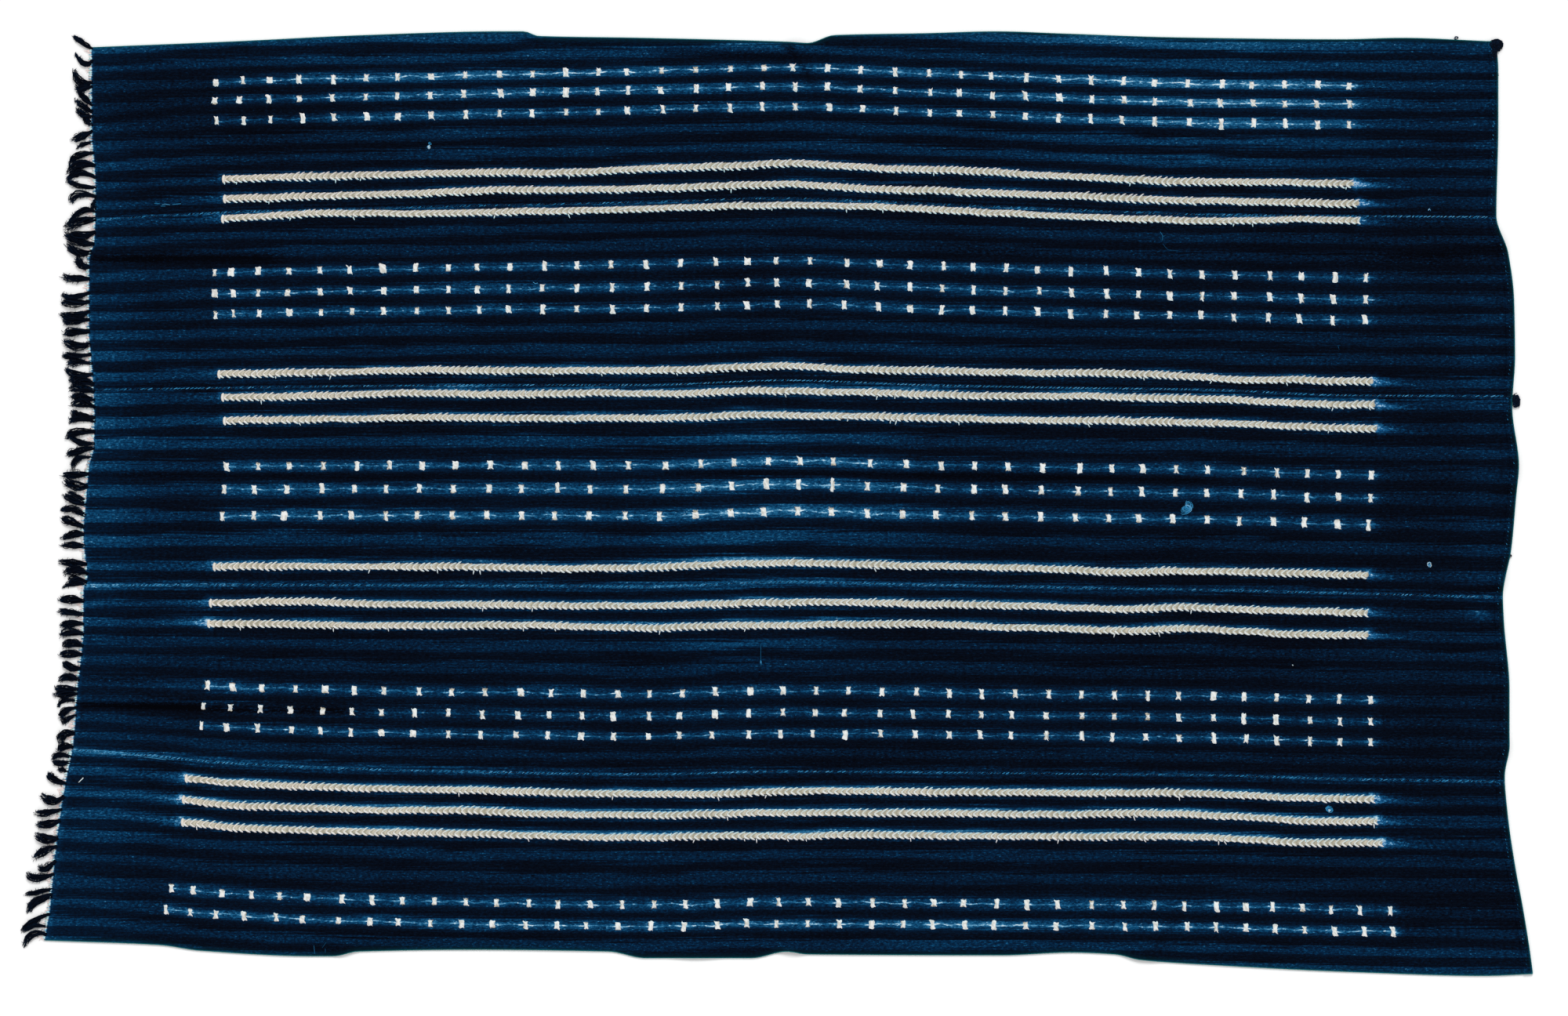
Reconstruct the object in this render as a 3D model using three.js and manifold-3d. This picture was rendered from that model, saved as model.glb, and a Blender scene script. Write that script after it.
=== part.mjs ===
// A hand-loomed indigo cloth, lying flat on a floor: five narrow panels sewn edge to edge, a row of
// short fringe locks at the left ends and a narrow turned hem at the right ends.
// Millimetres, +Z up. In the tables below x runs right from the tip of the longest lock and y runs
// down from the highest point of the top edge, as the cloth is seen from above.
import * as THREE from 'three';
import { mergeVertices } from 'three/addons/utils/BufferGeometryUtils.js';
import Module from 'manifold-3d';

const wasm = await Module();
wasm.setup();

const clothThickness = 1.5;
const seamGap = 0.3;
const edgePanelWidth = { top: 186, bottom: 195 };

// The long courses of the cloth, each from left to right. Columns: x, y.
const courses = {
  topEdge: [
    [74, 17], [220, 11], [366, 4], [512, 0], [536, 0], [552, 5], [664, 7], [815, 11], [840, 12.5],
    [869, 4], [966, 2], [1042, 0], [1117, 2.5], [1235, 6.5], [1413, 8.5], [1476, 7], [1579, 11],
  ],
  seam1: [
    [74, 202], [220, 194], [366, 190], [512, 186.5], [664, 183], [815, 179], [966, 185], [1117, 191],
    [1268, 196.5], [1413, 198], [1579, 199],
  ],
  seam2: [
    [74, 384], [220, 382], [366, 380], [512, 379], [664, 379], [815, 374], [966, 379], [1117, 382],
    [1268, 384], [1413, 390], [1595, 391],
  ],
  seam3: [
    [67, 594], [220, 593], [366, 593.5], [512, 594], [664, 595], [815, 590], [966, 593], [1117, 596],
    [1268, 598.5], [1413, 602], [1586, 606.5],
  ],
  seam4: [
    [50, 770], [125, 775], [220, 784], [366, 790.5], [512, 794], [664, 796], [815, 793], [966, 794],
    [1117, 795.5], [1268, 797], [1413, 801], [1588, 804],
  ],
  bottomEdge: [
    [21, 974], [146, 979], [189, 985], [311, 991], [332, 991], [358, 986], [482, 984], [627, 986],
    [666, 993], [780, 993], [818, 986], [840, 989], [1047, 990], [1122, 987], [1169, 989],
    [1197, 995], [1283, 1001], [1425, 1008], [1565, 1012], [1617, 1010],
  ],
};

// The two ends of the cloth, from top to bottom. Columns: y, x.
const ends = {
  left: [
    [10, 72], [100, 72], [167, 76], [221, 75], [248, 69], [318, 69], [371, 73], [414, 75], [446, 74],
    [468, 69], [511, 65], [538, 63], [585, 67], [601, 63], [644, 63], [677, 60], [702, 57],
    [741, 54], [769, 51], [799, 45], [835, 39], [890, 32], [940, 27], [976, 21],
  ],
  right: [
    [10, 1578], [42, 1580], [101, 1580], [197, 1578], [239, 1591], [288, 1597], [349, 1598],
    [402, 1595], [464, 1602], [500, 1599], [554, 1594], [604, 1585], [630, 1586], [705, 1592],
    [764, 1592], [798, 1587], [837, 1590], [893, 1598], [936, 1606], [979, 1613], [1010, 1617],
  ],
};

// Where the mesh has its columns, away from the two ends.
const columns = [
  110, 189, 208, 222, 311, 345, 370, 440, 530, 552, 664, 750, 800, 829, 858, 920, 1042, 1172, 1200,
  1320, 1425, 1444, 1456, 1553,
];

// The welts that the stitched resist left in the cloth, as shares of their panel's width.
// Columns: share, start x, end x.
const weltWidth = 10.5;
const weltHeight = 0.55;
const panels = [
  {
    name: 'panel_1',
    courses: ['topEdge', 'seam1'],
    welts: [[0.808, 212, 1425], [0.922, 213, 1431]],
    plainRows: [0, 0.05, 0.13, 0.3, 0.45, 0.6, 1],
  },
  {
    name: 'panel_2',
    courses: ['seam1', 'seam2'],
    welts: [[0.038, 211, 1431], [0.921, 207, 1446]],
    plainRows: [0, 0.14, 0.23, 0.29, 0.45, 0.7, 1],
  },
  {
    name: 'panel_3',
    courses: ['seam2', 'seam3'],
    welts: [[0.048, 211, 1449], [0.166, 213, 1450], [0.907, 202, 1441]],
    plainRows: [0, 0.34, 0.42, 0.46, 0.6, 0.74, 1],
  },
  {
    name: 'panel_4',
    courses: ['seam3', 'seam4'],
    welts: [[0.104, 198, 1440], [0.22, 196, 1441]],
    plainRows: [0, 0.45, 0.58, 0.66, 0.71, 0.84, 1],
  },
  {
    name: 'panel_5',
    courses: ['seam4', 'bottomEdge'],
    welts: [[0.107, 172, 1452], [0.225, 169, 1451], [0.347, 168, 1457]],
    plainRows: [0, 0.6, 0.8, 0.92, 1],
  },
];

// Soft folds, each a swell along a line: its cloth stands off the floor by rise, and falls away
// within the two widths. Columns: x1, y1, x2, y2, rise 1, rise 2, width above, width below.
const folds = [
  [40, 716, 120, 717, 1.6, 4.6, 34, 9],
  [120, 717, 330, 721, 4.6, 0.6, 34, 9],
  [40, 471, 120, 471, 1.2, 2.4, 26, 8],
  [120, 471, 420, 474, 2.4, 1, 26, 8],
  [640, 469, 1010, 468, 1.2, 2.2, 24, 9],
  [1010, 468, 1240, 480, 2.2, 0.5, 24, 9],
  [40, 240, 120, 240, 1.2, 2.6, 22, 8],
  [120, 240, 250, 242, 2.6, 0.6, 22, 8],
  [700, 19, 812, 24, 0.8, 3, 12, 8],
  [829, 0, 829, 70, 4.5, 1.4, 16, 16],
  [829, 70, 826, 900, 1.4, 1, 20, 20],
  [826, 900, 822, 1000, 1, 4.5, 18, 18],
  [500, 250, 508, 700, 0.5, 1, 24, 24],
  [1062, 60, 1056, 560, 1, 0.5, 22, 22],
  [1592, 225, 1500, 232, 3, 0.8, 20, 16],
  [1600, 470, 1520, 462, 2.4, 0.5, 22, 18],
  [1590, 590, 1500, 596, 2.8, 0.6, 20, 16],
  [1592, 770, 1510, 778, 2.6, 0.6, 20, 18],
  [1190, 1010, 1240, 930, 3, 0.6, 26, 24],
  [345, 1000, 352, 940, 2.6, 0.5, 16, 16],
  [722, 1005, 715, 945, 2.6, 0.5, 34, 34],
];

const hemWidth = 10;
const rolledSelvedge = { from: 536, to: 845, width: 8, height: 1.4 };

// The fringe is knotted off in locks. Columns: y of the root, reach to the left, drop of the tip.
const backingWidth = 3;
const lockSize = { root: 3.4, belly: 5.6, tip: 1.4, height: 2.6 };
const fringes = [
  {
    name: 'fringe_1',
    locks: [
      [24, 18, -13], [34, 16, -6], [54, 16, -11], [65, 14, -7], [79, 13, -5], [99, 15, -14],
      [111, 19, 6], [121, 13, 2], [134, 22, 6], [146, 25, 6], [156, 24, 5], [167, 25, -2],
      [176, 21, 8], [195, 26, 6],
    ],
  },
  {
    name: 'fringe_2',
    locks: [
      [207, 28, 5], [220, 28, -4], [229, 25, 1], [239, 13, -3], [255, 13, -9], [266, 26, -5],
      [279, 26, 1], [291, 25, -3], [300, 28, 1], [309, 27, 1], [322, 21, 0], [331, 22, -3],
      [339, 22, 0], [348, 25, 1], [357, 19, 0], [367, 24, -3], [378, 21, -4],
    ],
  },
  {
    name: 'fringe_3',
    locks: [
      [388, 22, 0], [396, 21, -2], [404, 20, -2], [416, 23, 3], [429, 24, 5], [439, 14, -2],
      [447, 24, 6], [458, 18, 10], [471, 27, 3], [480, 24, 1], [491, 22, -3], [505, 21, -9],
      [517, 22, -4], [532, 22, -10], [540, 21, 2], [551, 21, -1], [569, 24, 0], [581, 21, -2],
      [589, 20, 4],
    ],
  },
  {
    name: 'fringe_4',
    locks: [
      [609, 20, 0], [623, 20, -3], [637, 22, 2], [648, 21, 1], [659, 20, 3], [672, 21, -2],
      [685, 17, -7], [697, 19, -3], [706, 22, -1], [713, 21, 2], [720, 14, 7], [728, 13, 12],
      [752, 13, 8], [764, 17, 5],
    ],
  },
  {
    name: 'fringe_5',
    locks: [
      [779, 16, 2], [794, 9, -3], [806, 17, -10], [824, 22, -6], [835, 24, 2], [846, 21, 4],
      [863, 22, -5], [873, 20, 10], [884, 18, 8], [895, 25, 8], [916, 27, 8], [927, 22, 15],
      [945, 26, 15], [954, 14, 9], [967, 21, 14],
    ],
  },
];

const colours = { indigo: 0x0b2740, fringe: 0x0a1726 };

// The value of a course or an end at a place along it, on a smooth curve that keeps between its points.
function follow(course, place) {
  const last = course.length - 1;
  let k = 0;
  while (k < last - 1 && place > course[k + 1][0]) k += 1;
  const slope = (i) => (course[i + 1][1] - course[i][1]) / (course[i + 1][0] - course[i][0]);
  const tangent = (i) => {
    if (i === 0) return slope(0);
    if (i === last) return slope(last - 1);
    const product = slope(i - 1) * slope(i);
    return product > 0 ? (2 * product) / (slope(i - 1) + slope(i)) : 0;
  };
  const [x0, y0] = course[k];
  const [x1, y1] = course[k + 1];
  const step = x1 - x0;
  const t = THREE.MathUtils.clamp((place - x0) / step, 0, 1);
  const bend = (t - 1) * tangent(k) * (1 - t) * t * -step + t * tangent(k + 1) * (t - 1) * t * step;
  return y0 + (y1 - y0) * t * t * (3 - 2 * t) + bend;
}

// The y of a share of a panel's width. The edge panels keep an even width as far as their pattern
// goes, and only a margin along the free edge follows that edge.
function across(panel, x, share) {
  const margin = { top: 0.2, bottom: 0.15 };
  const [upper, lower] = panel.courses;
  const isTop = upper === 'topEdge';
  const isBottom = lower === 'bottomEdge';
  const lowerY = isBottom ? follow(courses.seam4, x) + edgePanelWidth.bottom : follow(courses[lower], x);
  const upperY = isTop ? lowerY - edgePanelWidth.top : follow(courses[upper], x);
  let y = THREE.MathUtils.lerp(upperY, lowerY, share);
  if (isTop) y += (follow(courses.topEdge, x) - upperY) * Math.max(0, 1 - share / margin.top);
  if (isBottom) {
    y += (follow(courses.bottomEdge, x) - lowerY) * Math.max(0, 1 - (1 - share) / margin.bottom);
  }
  if (!isTop && share === 0) y += seamGap / 2;
  if (!isBottom && share === 1) y -= seamGap / 2;
  return y;
}

// How far the underside of the cloth stands off the floor.
function lift(x, y) {
  let height = 0;
  for (const [x1, y1, x2, y2, rise1, rise2, above, below] of folds) {
    const length = Math.hypot(x2 - x1, y2 - y1);
    const way = ((x - x1) * (x2 - x1) + (y - y1) * (y2 - y1)) / length;
    const side = ((x - x1) * (y2 - y1) - (y - y1) * (x2 - x1)) / length;
    const width = side * Math.sign(x2 - x1 || 1) > 0 ? above : below;
    const past = Math.max(0, -way, way - length);
    const far = Math.hypot(side, past) / width;
    const rise = THREE.MathUtils.lerp(rise1, rise2, THREE.MathUtils.clamp(way / length, 0, 1));
    if (far < 1) height = Math.max(height, rise * (1 - far * far) ** 2);
  }
  return height;
}

// What the upper face has above the sheet itself: a welt, the rolled selvedge or the hem's second layer.
function raised(panel, x, y, share, fromRightEnd) {
  let height = 0;
  for (const [weltShare, start, end] of panel.welts) {
    const off = Math.abs(y - across(panel, x, weltShare)) / (weltWidth / 2);
    if (off < 0.9 && x > start && x < end) height = weltHeight * (1 - off * off);
  }
  const rolled = x > rolledSelvedge.from && x < rolledSelvedge.to;
  if (panel.name === 'panel_1' && rolled && share < 0.05) height += rolledSelvedge.height;
  if (fromRightEnd < hemWidth + 0.1) height += clothThickness;
  return height;
}

// A closed sheet from a grid of places, each with the heights of its two faces.
function sheet(grid) {
  const rows = grid.length;
  const width = grid[0].length;
  const positions = [];
  for (const face of ['high', 'low']) {
    for (const row of grid) {
      for (const place of row) positions.push(place.x, -place.y, place[face]);
    }
  }
  const at = (row, column, face) => face * rows * width + row * width + column;
  const triangles = [];
  for (let r = 0; r < rows - 1; r += 1) {
    for (let c = 0; c < width - 1; c += 1) {
      const corners = [at(r, c, 0), at(r + 1, c, 0), at(r + 1, c + 1, 0), at(r, c + 1, 0)];
      const [a, b, d, e] = corners;
      const below = corners.map((corner) => corner + rows * width);
      triangles.push(a, b, d, a, d, e);
      triangles.push(below[0], below[2], below[1], below[0], below[3], below[2]);
    }
  }
  const rim = [];
  for (let c = 0; c < width - 1; c += 1) rim.push([at(0, c + 1, 0), at(0, c, 0)]);
  for (let r = 0; r < rows - 1; r += 1) rim.push([at(r, 0, 0), at(r + 1, 0, 0)]);
  for (let c = 0; c < width - 1; c += 1) rim.push([at(rows - 1, c, 0), at(rows - 1, c + 1, 0)]);
  for (let r = 0; r < rows - 1; r += 1) rim.push([at(r + 1, width - 1, 0), at(r, width - 1, 0)]);
  for (const [from, to] of rim) {
    const [lowFrom, lowTo] = [from + rows * width, to + rows * width];
    triangles.push(from, lowFrom, lowTo, from, lowTo, to);
  }
  const geometry = new THREE.BufferGeometry();
  geometry.setAttribute('position', new THREE.Float32BufferAttribute(positions, 3));
  geometry.setIndex(triangles);
  return geometry;
}

// The rows of a panel's mesh: its plain rows, and three along each welt.
function rowsOf(panel) {
  const half = weltWidth / 2 / edgePanelWidth.top;
  const weltRows = panel.welts.flatMap(([share]) => [share - half, share, share + half]);
  return [...panel.plainRows, ...weltRows].sort((a, b) => a - b);
}

function leftEnd(panel, share) {
  return follow(ends.left, across(panel, columns[0], share));
}

function makePanel(panel) {
  const grid = rowsOf(panel).map((share) => {
    const leftX = leftEnd(panel, share) + backingWidth + seamGap;
    const rightX = follow(ends.right, across(panel, columns.at(-1), share));
    const places = [leftX, ...columns, rightX - hemWidth - clothThickness, rightX - hemWidth, rightX];
    return places.map((x) => {
      const y = across(panel, x, share);
      const low = lift(x, y);
      return { x, y, low, high: low + clothThickness + raised(panel, x, y, share, rightX - x) };
    });
  });
  return sheet(grid);
}

// A lock has four sides: it tapers from its root in the backing to its tip, and lies level on the floor.
function makeLock([rootY, reach, drop]) {
  const rootDepth = backingWidth * 0.6;
  const rootX = follow(ends.left, rootY) + rootDepth;
  const rootLift = lift(rootX, rootY);
  const rootSink = 0.7;
  const sections = [[0, lockSize.root], [0.3, lockSize.root], [0.62, lockSize.belly], [1, lockSize.tip]];
  const positions = [];
  for (const [t, width] of sections) {
    const x = rootX - (reach + rootDepth) * t;
    const y = rootY + drop * t * t;
    const lean = Math.atan2(2 * drop * t, reach);
    const low = Math.max(0, rootLift * (1 - t) ** 2 - rootSink);
    const high = low + lockSize.height * (0.35 + (0.65 * width) / lockSize.belly);
    for (const [side, z] of [[-1, low], [1, low], [0.5, high], [-0.5, high]]) {
      const off = (side * width) / 2;
      positions.push(x + off * Math.sin(lean), -(y + off * Math.cos(lean)), z);
    }
  }
  const triangles = [0, 2, 1, 0, 3, 2];
  for (let s = 0; s < sections.length - 1; s += 1) {
    for (let k = 0; k < 4; k += 1) {
      const [near, next] = [4 * s + k, 4 * s + ((k + 1) % 4)];
      triangles.push(near, next + 4, near + 4, near, next, next + 4);
    }
  }
  const tip = 4 * (sections.length - 1);
  triangles.push(tip, tip + 1, tip + 2, tip, tip + 2, tip + 3);
  const geometry = new THREE.BufferGeometry();
  geometry.setAttribute('position', new THREE.Float32BufferAttribute(positions, 3));
  geometry.setIndex(triangles);
  return geometry;
}

// The narrow woven end that carries the roots of one panel's locks.
function makeBacking(panel) {
  return sheet(rowsOf(panel).map((share) => {
    const outer = leftEnd(panel, share);
    return [outer, outer + backingWidth].map((x) => {
      const y = across(panel, x, share);
      const low = lift(x, y);
      return { x, y, low, high: low + clothThickness };
    });
  }));
}

function toSolid(geometry) {
  const bare = mergeVertices(geometry, 1e-4);
  const solid = new wasm.Mesh({
    numProp: 3,
    vertProperties: new Float32Array(bare.attributes.position.array),
    triVerts: new Uint32Array(bare.index.array),
  });
  return new wasm.Manifold(solid);
}

function toGeometry(solid) {
  const { vertProperties, triVerts } = solid.getMesh();
  const geometry = new THREE.BufferGeometry();
  geometry.setAttribute('position', new THREE.BufferAttribute(vertProperties, 3));
  geometry.setIndex(new THREE.BufferAttribute(triVerts, 1));
  return geometry;
}

function makeFringe(fringe, panel) {
  let solid = toSolid(makeBacking(panel));
  for (const lock of fringe.locks) solid = solid.add(toSolid(makeLock(lock)));
  return toGeometry(solid);
}

const cloth = new THREE.Group();
const clothMaterial = new THREE.MeshStandardMaterial({ color: colours.indigo, roughness: 0.92, metalness: 0 });
const fringeMaterial = new THREE.MeshStandardMaterial({ color: colours.fringe, roughness: 0.95, metalness: 0 });

function addMesh(name, geometry, material) {
  const mesh = new THREE.Mesh(geometry, material);
  mesh.name = name;
  cloth.add(mesh);
}

panels.forEach((panel, index) => {
  addMesh(panel.name, makePanel(panel), clothMaterial);
  addMesh(fringes[index].name, makeFringe(fringes[index], panel), fringeMaterial);
});

// The origin is on the floor, under the middle of the cloth's outline.
const outline = new THREE.Box3().setFromObject(cloth);
const middle = outline.getCenter(new THREE.Vector3());
cloth.position.set(-middle.x, -middle.y, -outline.min.z);

export default cloth;
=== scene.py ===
# A hand-loomed indigo cloth laid flat on a pale floor: five narrow strips sewn edge to edge, with rows
# of tied dots and of stitched lines that the dye left bare, a fringe at the left and a hem at the right.
# Sizes are in millimetres, as x to the right from the tip of the longest fringe lock and y down from
# the highest point of the top edge, until place() turns them into the frame's metres.
import math

import bpy
import numpy as np
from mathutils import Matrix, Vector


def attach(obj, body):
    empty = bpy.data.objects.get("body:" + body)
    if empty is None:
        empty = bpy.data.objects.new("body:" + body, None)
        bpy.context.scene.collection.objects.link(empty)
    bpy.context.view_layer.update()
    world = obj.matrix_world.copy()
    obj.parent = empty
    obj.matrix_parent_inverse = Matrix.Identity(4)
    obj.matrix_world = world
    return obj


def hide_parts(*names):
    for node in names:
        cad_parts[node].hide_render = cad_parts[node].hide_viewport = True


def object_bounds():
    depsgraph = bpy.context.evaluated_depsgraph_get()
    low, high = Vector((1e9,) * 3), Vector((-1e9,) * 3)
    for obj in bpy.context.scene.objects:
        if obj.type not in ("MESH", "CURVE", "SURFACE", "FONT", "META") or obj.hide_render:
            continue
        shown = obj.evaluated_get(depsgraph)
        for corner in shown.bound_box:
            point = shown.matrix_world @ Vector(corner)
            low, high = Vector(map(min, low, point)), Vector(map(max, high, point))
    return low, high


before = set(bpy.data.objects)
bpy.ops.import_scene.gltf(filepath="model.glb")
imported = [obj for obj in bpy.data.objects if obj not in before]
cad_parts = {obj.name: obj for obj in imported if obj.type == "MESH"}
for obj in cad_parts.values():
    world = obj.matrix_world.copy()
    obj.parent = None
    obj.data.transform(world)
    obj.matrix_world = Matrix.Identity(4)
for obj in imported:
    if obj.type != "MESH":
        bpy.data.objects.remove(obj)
cad_low, cad_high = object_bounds()

# The view is straight down on the middle of the photograph's frame, from far enough away that the
# sheet shows no perspective.
pixel = 0.84
photo_size = (2000, 1296)
origin_pixel = (30, 40)
cloth_length = 1617
lens = 200
sensor = 36
view_middle = [(photo_size[i] / 2 - origin_pixel[i]) * pixel for i in range(2)]
camera_height = photo_size[0] * pixel / 1000 * lens / sensor

camera_data = bpy.data.cameras.new("overhead_camera")
camera_data.lens = lens
camera_data.sensor_width = sensor
camera = bpy.data.objects.new("overhead_camera", camera_data)
camera.location = (
    cad_high.x - (cloth_length - view_middle[0]) / 1000,
    cad_high.y - view_middle[1] / 1000,
    camera_height,
)
bpy.context.scene.collection.objects.link(camera)
bpy.context.scene.camera = camera

# A plain white floor under soft, even studio light, with a little more of it from the top of the
# picture, so that the raised stitching throws its faint shade downwards.
floor_size = 14
floor_drop = 0.0003
sky_strength = 0.78
key_strength = 1.5
key_tilt = (-38, 9)
key_softness = 24
floor_white = 0.93


def start_finish(name, gleam):
    """A new material, its tree of nodes and its shader, with how much the surface gleams."""
    finish = bpy.data.materials.new(name)
    finish.use_nodes = True
    shader = finish.node_tree.nodes["Principled BSDF"]
    shader.inputs["Specular IOR Level"].default_value = gleam
    return finish, finish.node_tree, shader


floor_mesh = bpy.data.meshes.new("floor")
half = floor_size / 2
floor_mesh.from_pydata(
    [(x, y, -floor_drop) for x, y in ((-half, -half), (half, -half), (half, half), (-half, half))],
    [],
    [(0, 1, 2, 3)],
)
floor = bpy.data.objects.new("floor", floor_mesh)
bpy.context.scene.collection.objects.link(floor)
floor_paint, _, floor_shader = start_finish("white floor", 0.1)
floor_shader.inputs["Base Color"].default_value = (floor_white, floor_white, floor_white, 1)
floor_shader.inputs["Roughness"].default_value = 0.9
floor_mesh.materials.append(floor_paint)

sky = bpy.data.worlds.new("studio")
sky.use_nodes = True
sky.node_tree.nodes["Background"].inputs["Color"].default_value = (1, 1, 1, 1)
sky.node_tree.nodes["Background"].inputs["Strength"].default_value = sky_strength
bpy.context.scene.world = sky
key_data = bpy.data.lights.new("soft_key", "SUN")
key_data.energy = key_strength
key_data.angle = math.radians(key_softness)
key = bpy.data.objects.new("soft_key", key_data)
key.rotation_euler = (math.radians(key_tilt[0]), math.radians(key_tilt[1]), 0)
bpy.context.scene.collection.objects.link(key)
bpy.context.scene.view_settings.view_transform = "Standard"

# How the cloth lies. Its long courses and its two ends are smooth curves through a few points, and its
# folds are soft swells along lines. The solids of the frame have the same courses, ends and folds.
sharp_angle = 55
cloth_thickness = 1.5
seam_gap = 0.3
edge_strip_width = {"top": 186, "bottom": 195}
edge_margin = {"top": 0.2, "bottom": 0.15}
hem_width = 10
backing_width = 3
edge_lap = 1.0
courses = {
    "top": [
        (74, 17), (220, 11), (366, 4), (512, 0), (536, 0), (552, 5), (664, 7), (815, 11), (840, 12.5),
        (869, 4), (966, 2), (1042, 0), (1117, 2.5), (1235, 6.5), (1413, 8.5), (1476, 7), (1579, 11),
    ],
    "seam_1": [
        (74, 202), (220, 194), (366, 190), (512, 186.5), (664, 183), (815, 179), (966, 185), (1117, 191),
        (1268, 196.5), (1413, 198), (1579, 199),
    ],
    "seam_2": [
        (74, 384), (220, 382), (366, 380), (512, 379), (664, 379), (815, 374), (966, 379), (1117, 382),
        (1268, 384), (1413, 390), (1595, 391),
    ],
    "seam_3": [
        (67, 594), (220, 593), (366, 593.5), (512, 594), (664, 595), (815, 590), (966, 593), (1117, 596),
        (1268, 598.5), (1413, 602), (1586, 606.5),
    ],
    "seam_4": [
        (50, 770), (125, 775), (220, 784), (366, 790.5), (512, 794), (664, 796), (815, 793), (966, 794),
        (1117, 795.5), (1268, 797), (1413, 801), (1588, 804),
    ],
    "bottom": [
        (21, 974), (146, 979), (189, 985), (311, 991), (332, 991), (358, 986), (482, 984), (627, 986),
        (666, 993), (780, 993), (818, 986), (840, 989), (1047, 990), (1122, 987), (1169, 989),
        (1197, 995), (1283, 1001), (1425, 1008), (1565, 1012), (1617, 1010),
    ],
}
left_end = [
    (10, 72), (100, 72), (167, 76), (221, 75), (248, 69), (318, 69), (371, 73), (414, 75), (446, 74),
    (468, 69), (511, 65), (538, 63), (585, 67), (601, 63), (644, 63), (677, 60), (702, 57),
    (741, 54), (769, 51), (799, 45), (835, 39), (890, 32), (940, 27), (976, 21),
]
right_end = [
    (10, 1578), (42, 1580), (101, 1580), (197, 1578), (239, 1591), (288, 1597), (349, 1598),
    (402, 1595), (464, 1602), (500, 1599), (554, 1594), (604, 1585), (630, 1586), (705, 1592),
    (764, 1592), (798, 1587), (837, 1590), (893, 1598), (936, 1606), (979, 1613), (1010, 1617),
]
# Columns: x1, y1, x2, y2, rise 1, rise 2, width above, width below.
folds = [
    (40, 716, 120, 717, 1.6, 4.6, 34, 9),
    (120, 717, 330, 721, 4.6, 0.6, 34, 9),
    (40, 471, 120, 471, 1.2, 2.4, 26, 8),
    (120, 471, 420, 474, 2.4, 1, 26, 8),
    (640, 469, 1010, 468, 1.2, 2.2, 24, 9),
    (1010, 468, 1240, 480, 2.2, 0.5, 24, 9),
    (40, 240, 120, 240, 1.2, 2.6, 22, 8),
    (120, 240, 250, 242, 2.6, 0.6, 22, 8),
    (700, 19, 812, 24, 0.8, 3, 12, 8),
    (829, 0, 829, 70, 4.5, 1.4, 16, 16),
    (829, 70, 826, 900, 1.4, 1, 20, 20),
    (826, 900, 822, 1000, 1, 4.5, 18, 18),
    (500, 250, 508, 700, 0.5, 1, 24, 24),
    (1062, 60, 1056, 560, 1, 0.5, 22, 22),
    (1592, 225, 1500, 232, 3, 0.8, 20, 16),
    (1600, 470, 1520, 462, 2.4, 0.5, 22, 18),
    (1590, 590, 1500, 596, 2.8, 0.6, 20, 16),
    (1592, 770, 1510, 778, 2.6, 0.6, 20, 18),
    (1190, 1010, 1240, 930, 3, 0.6, 26, 24),
    (345, 1000, 352, 940, 2.6, 0.5, 16, 16),
    (722, 1005, 715, 945, 2.6, 0.5, 34, 34),
]
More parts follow.
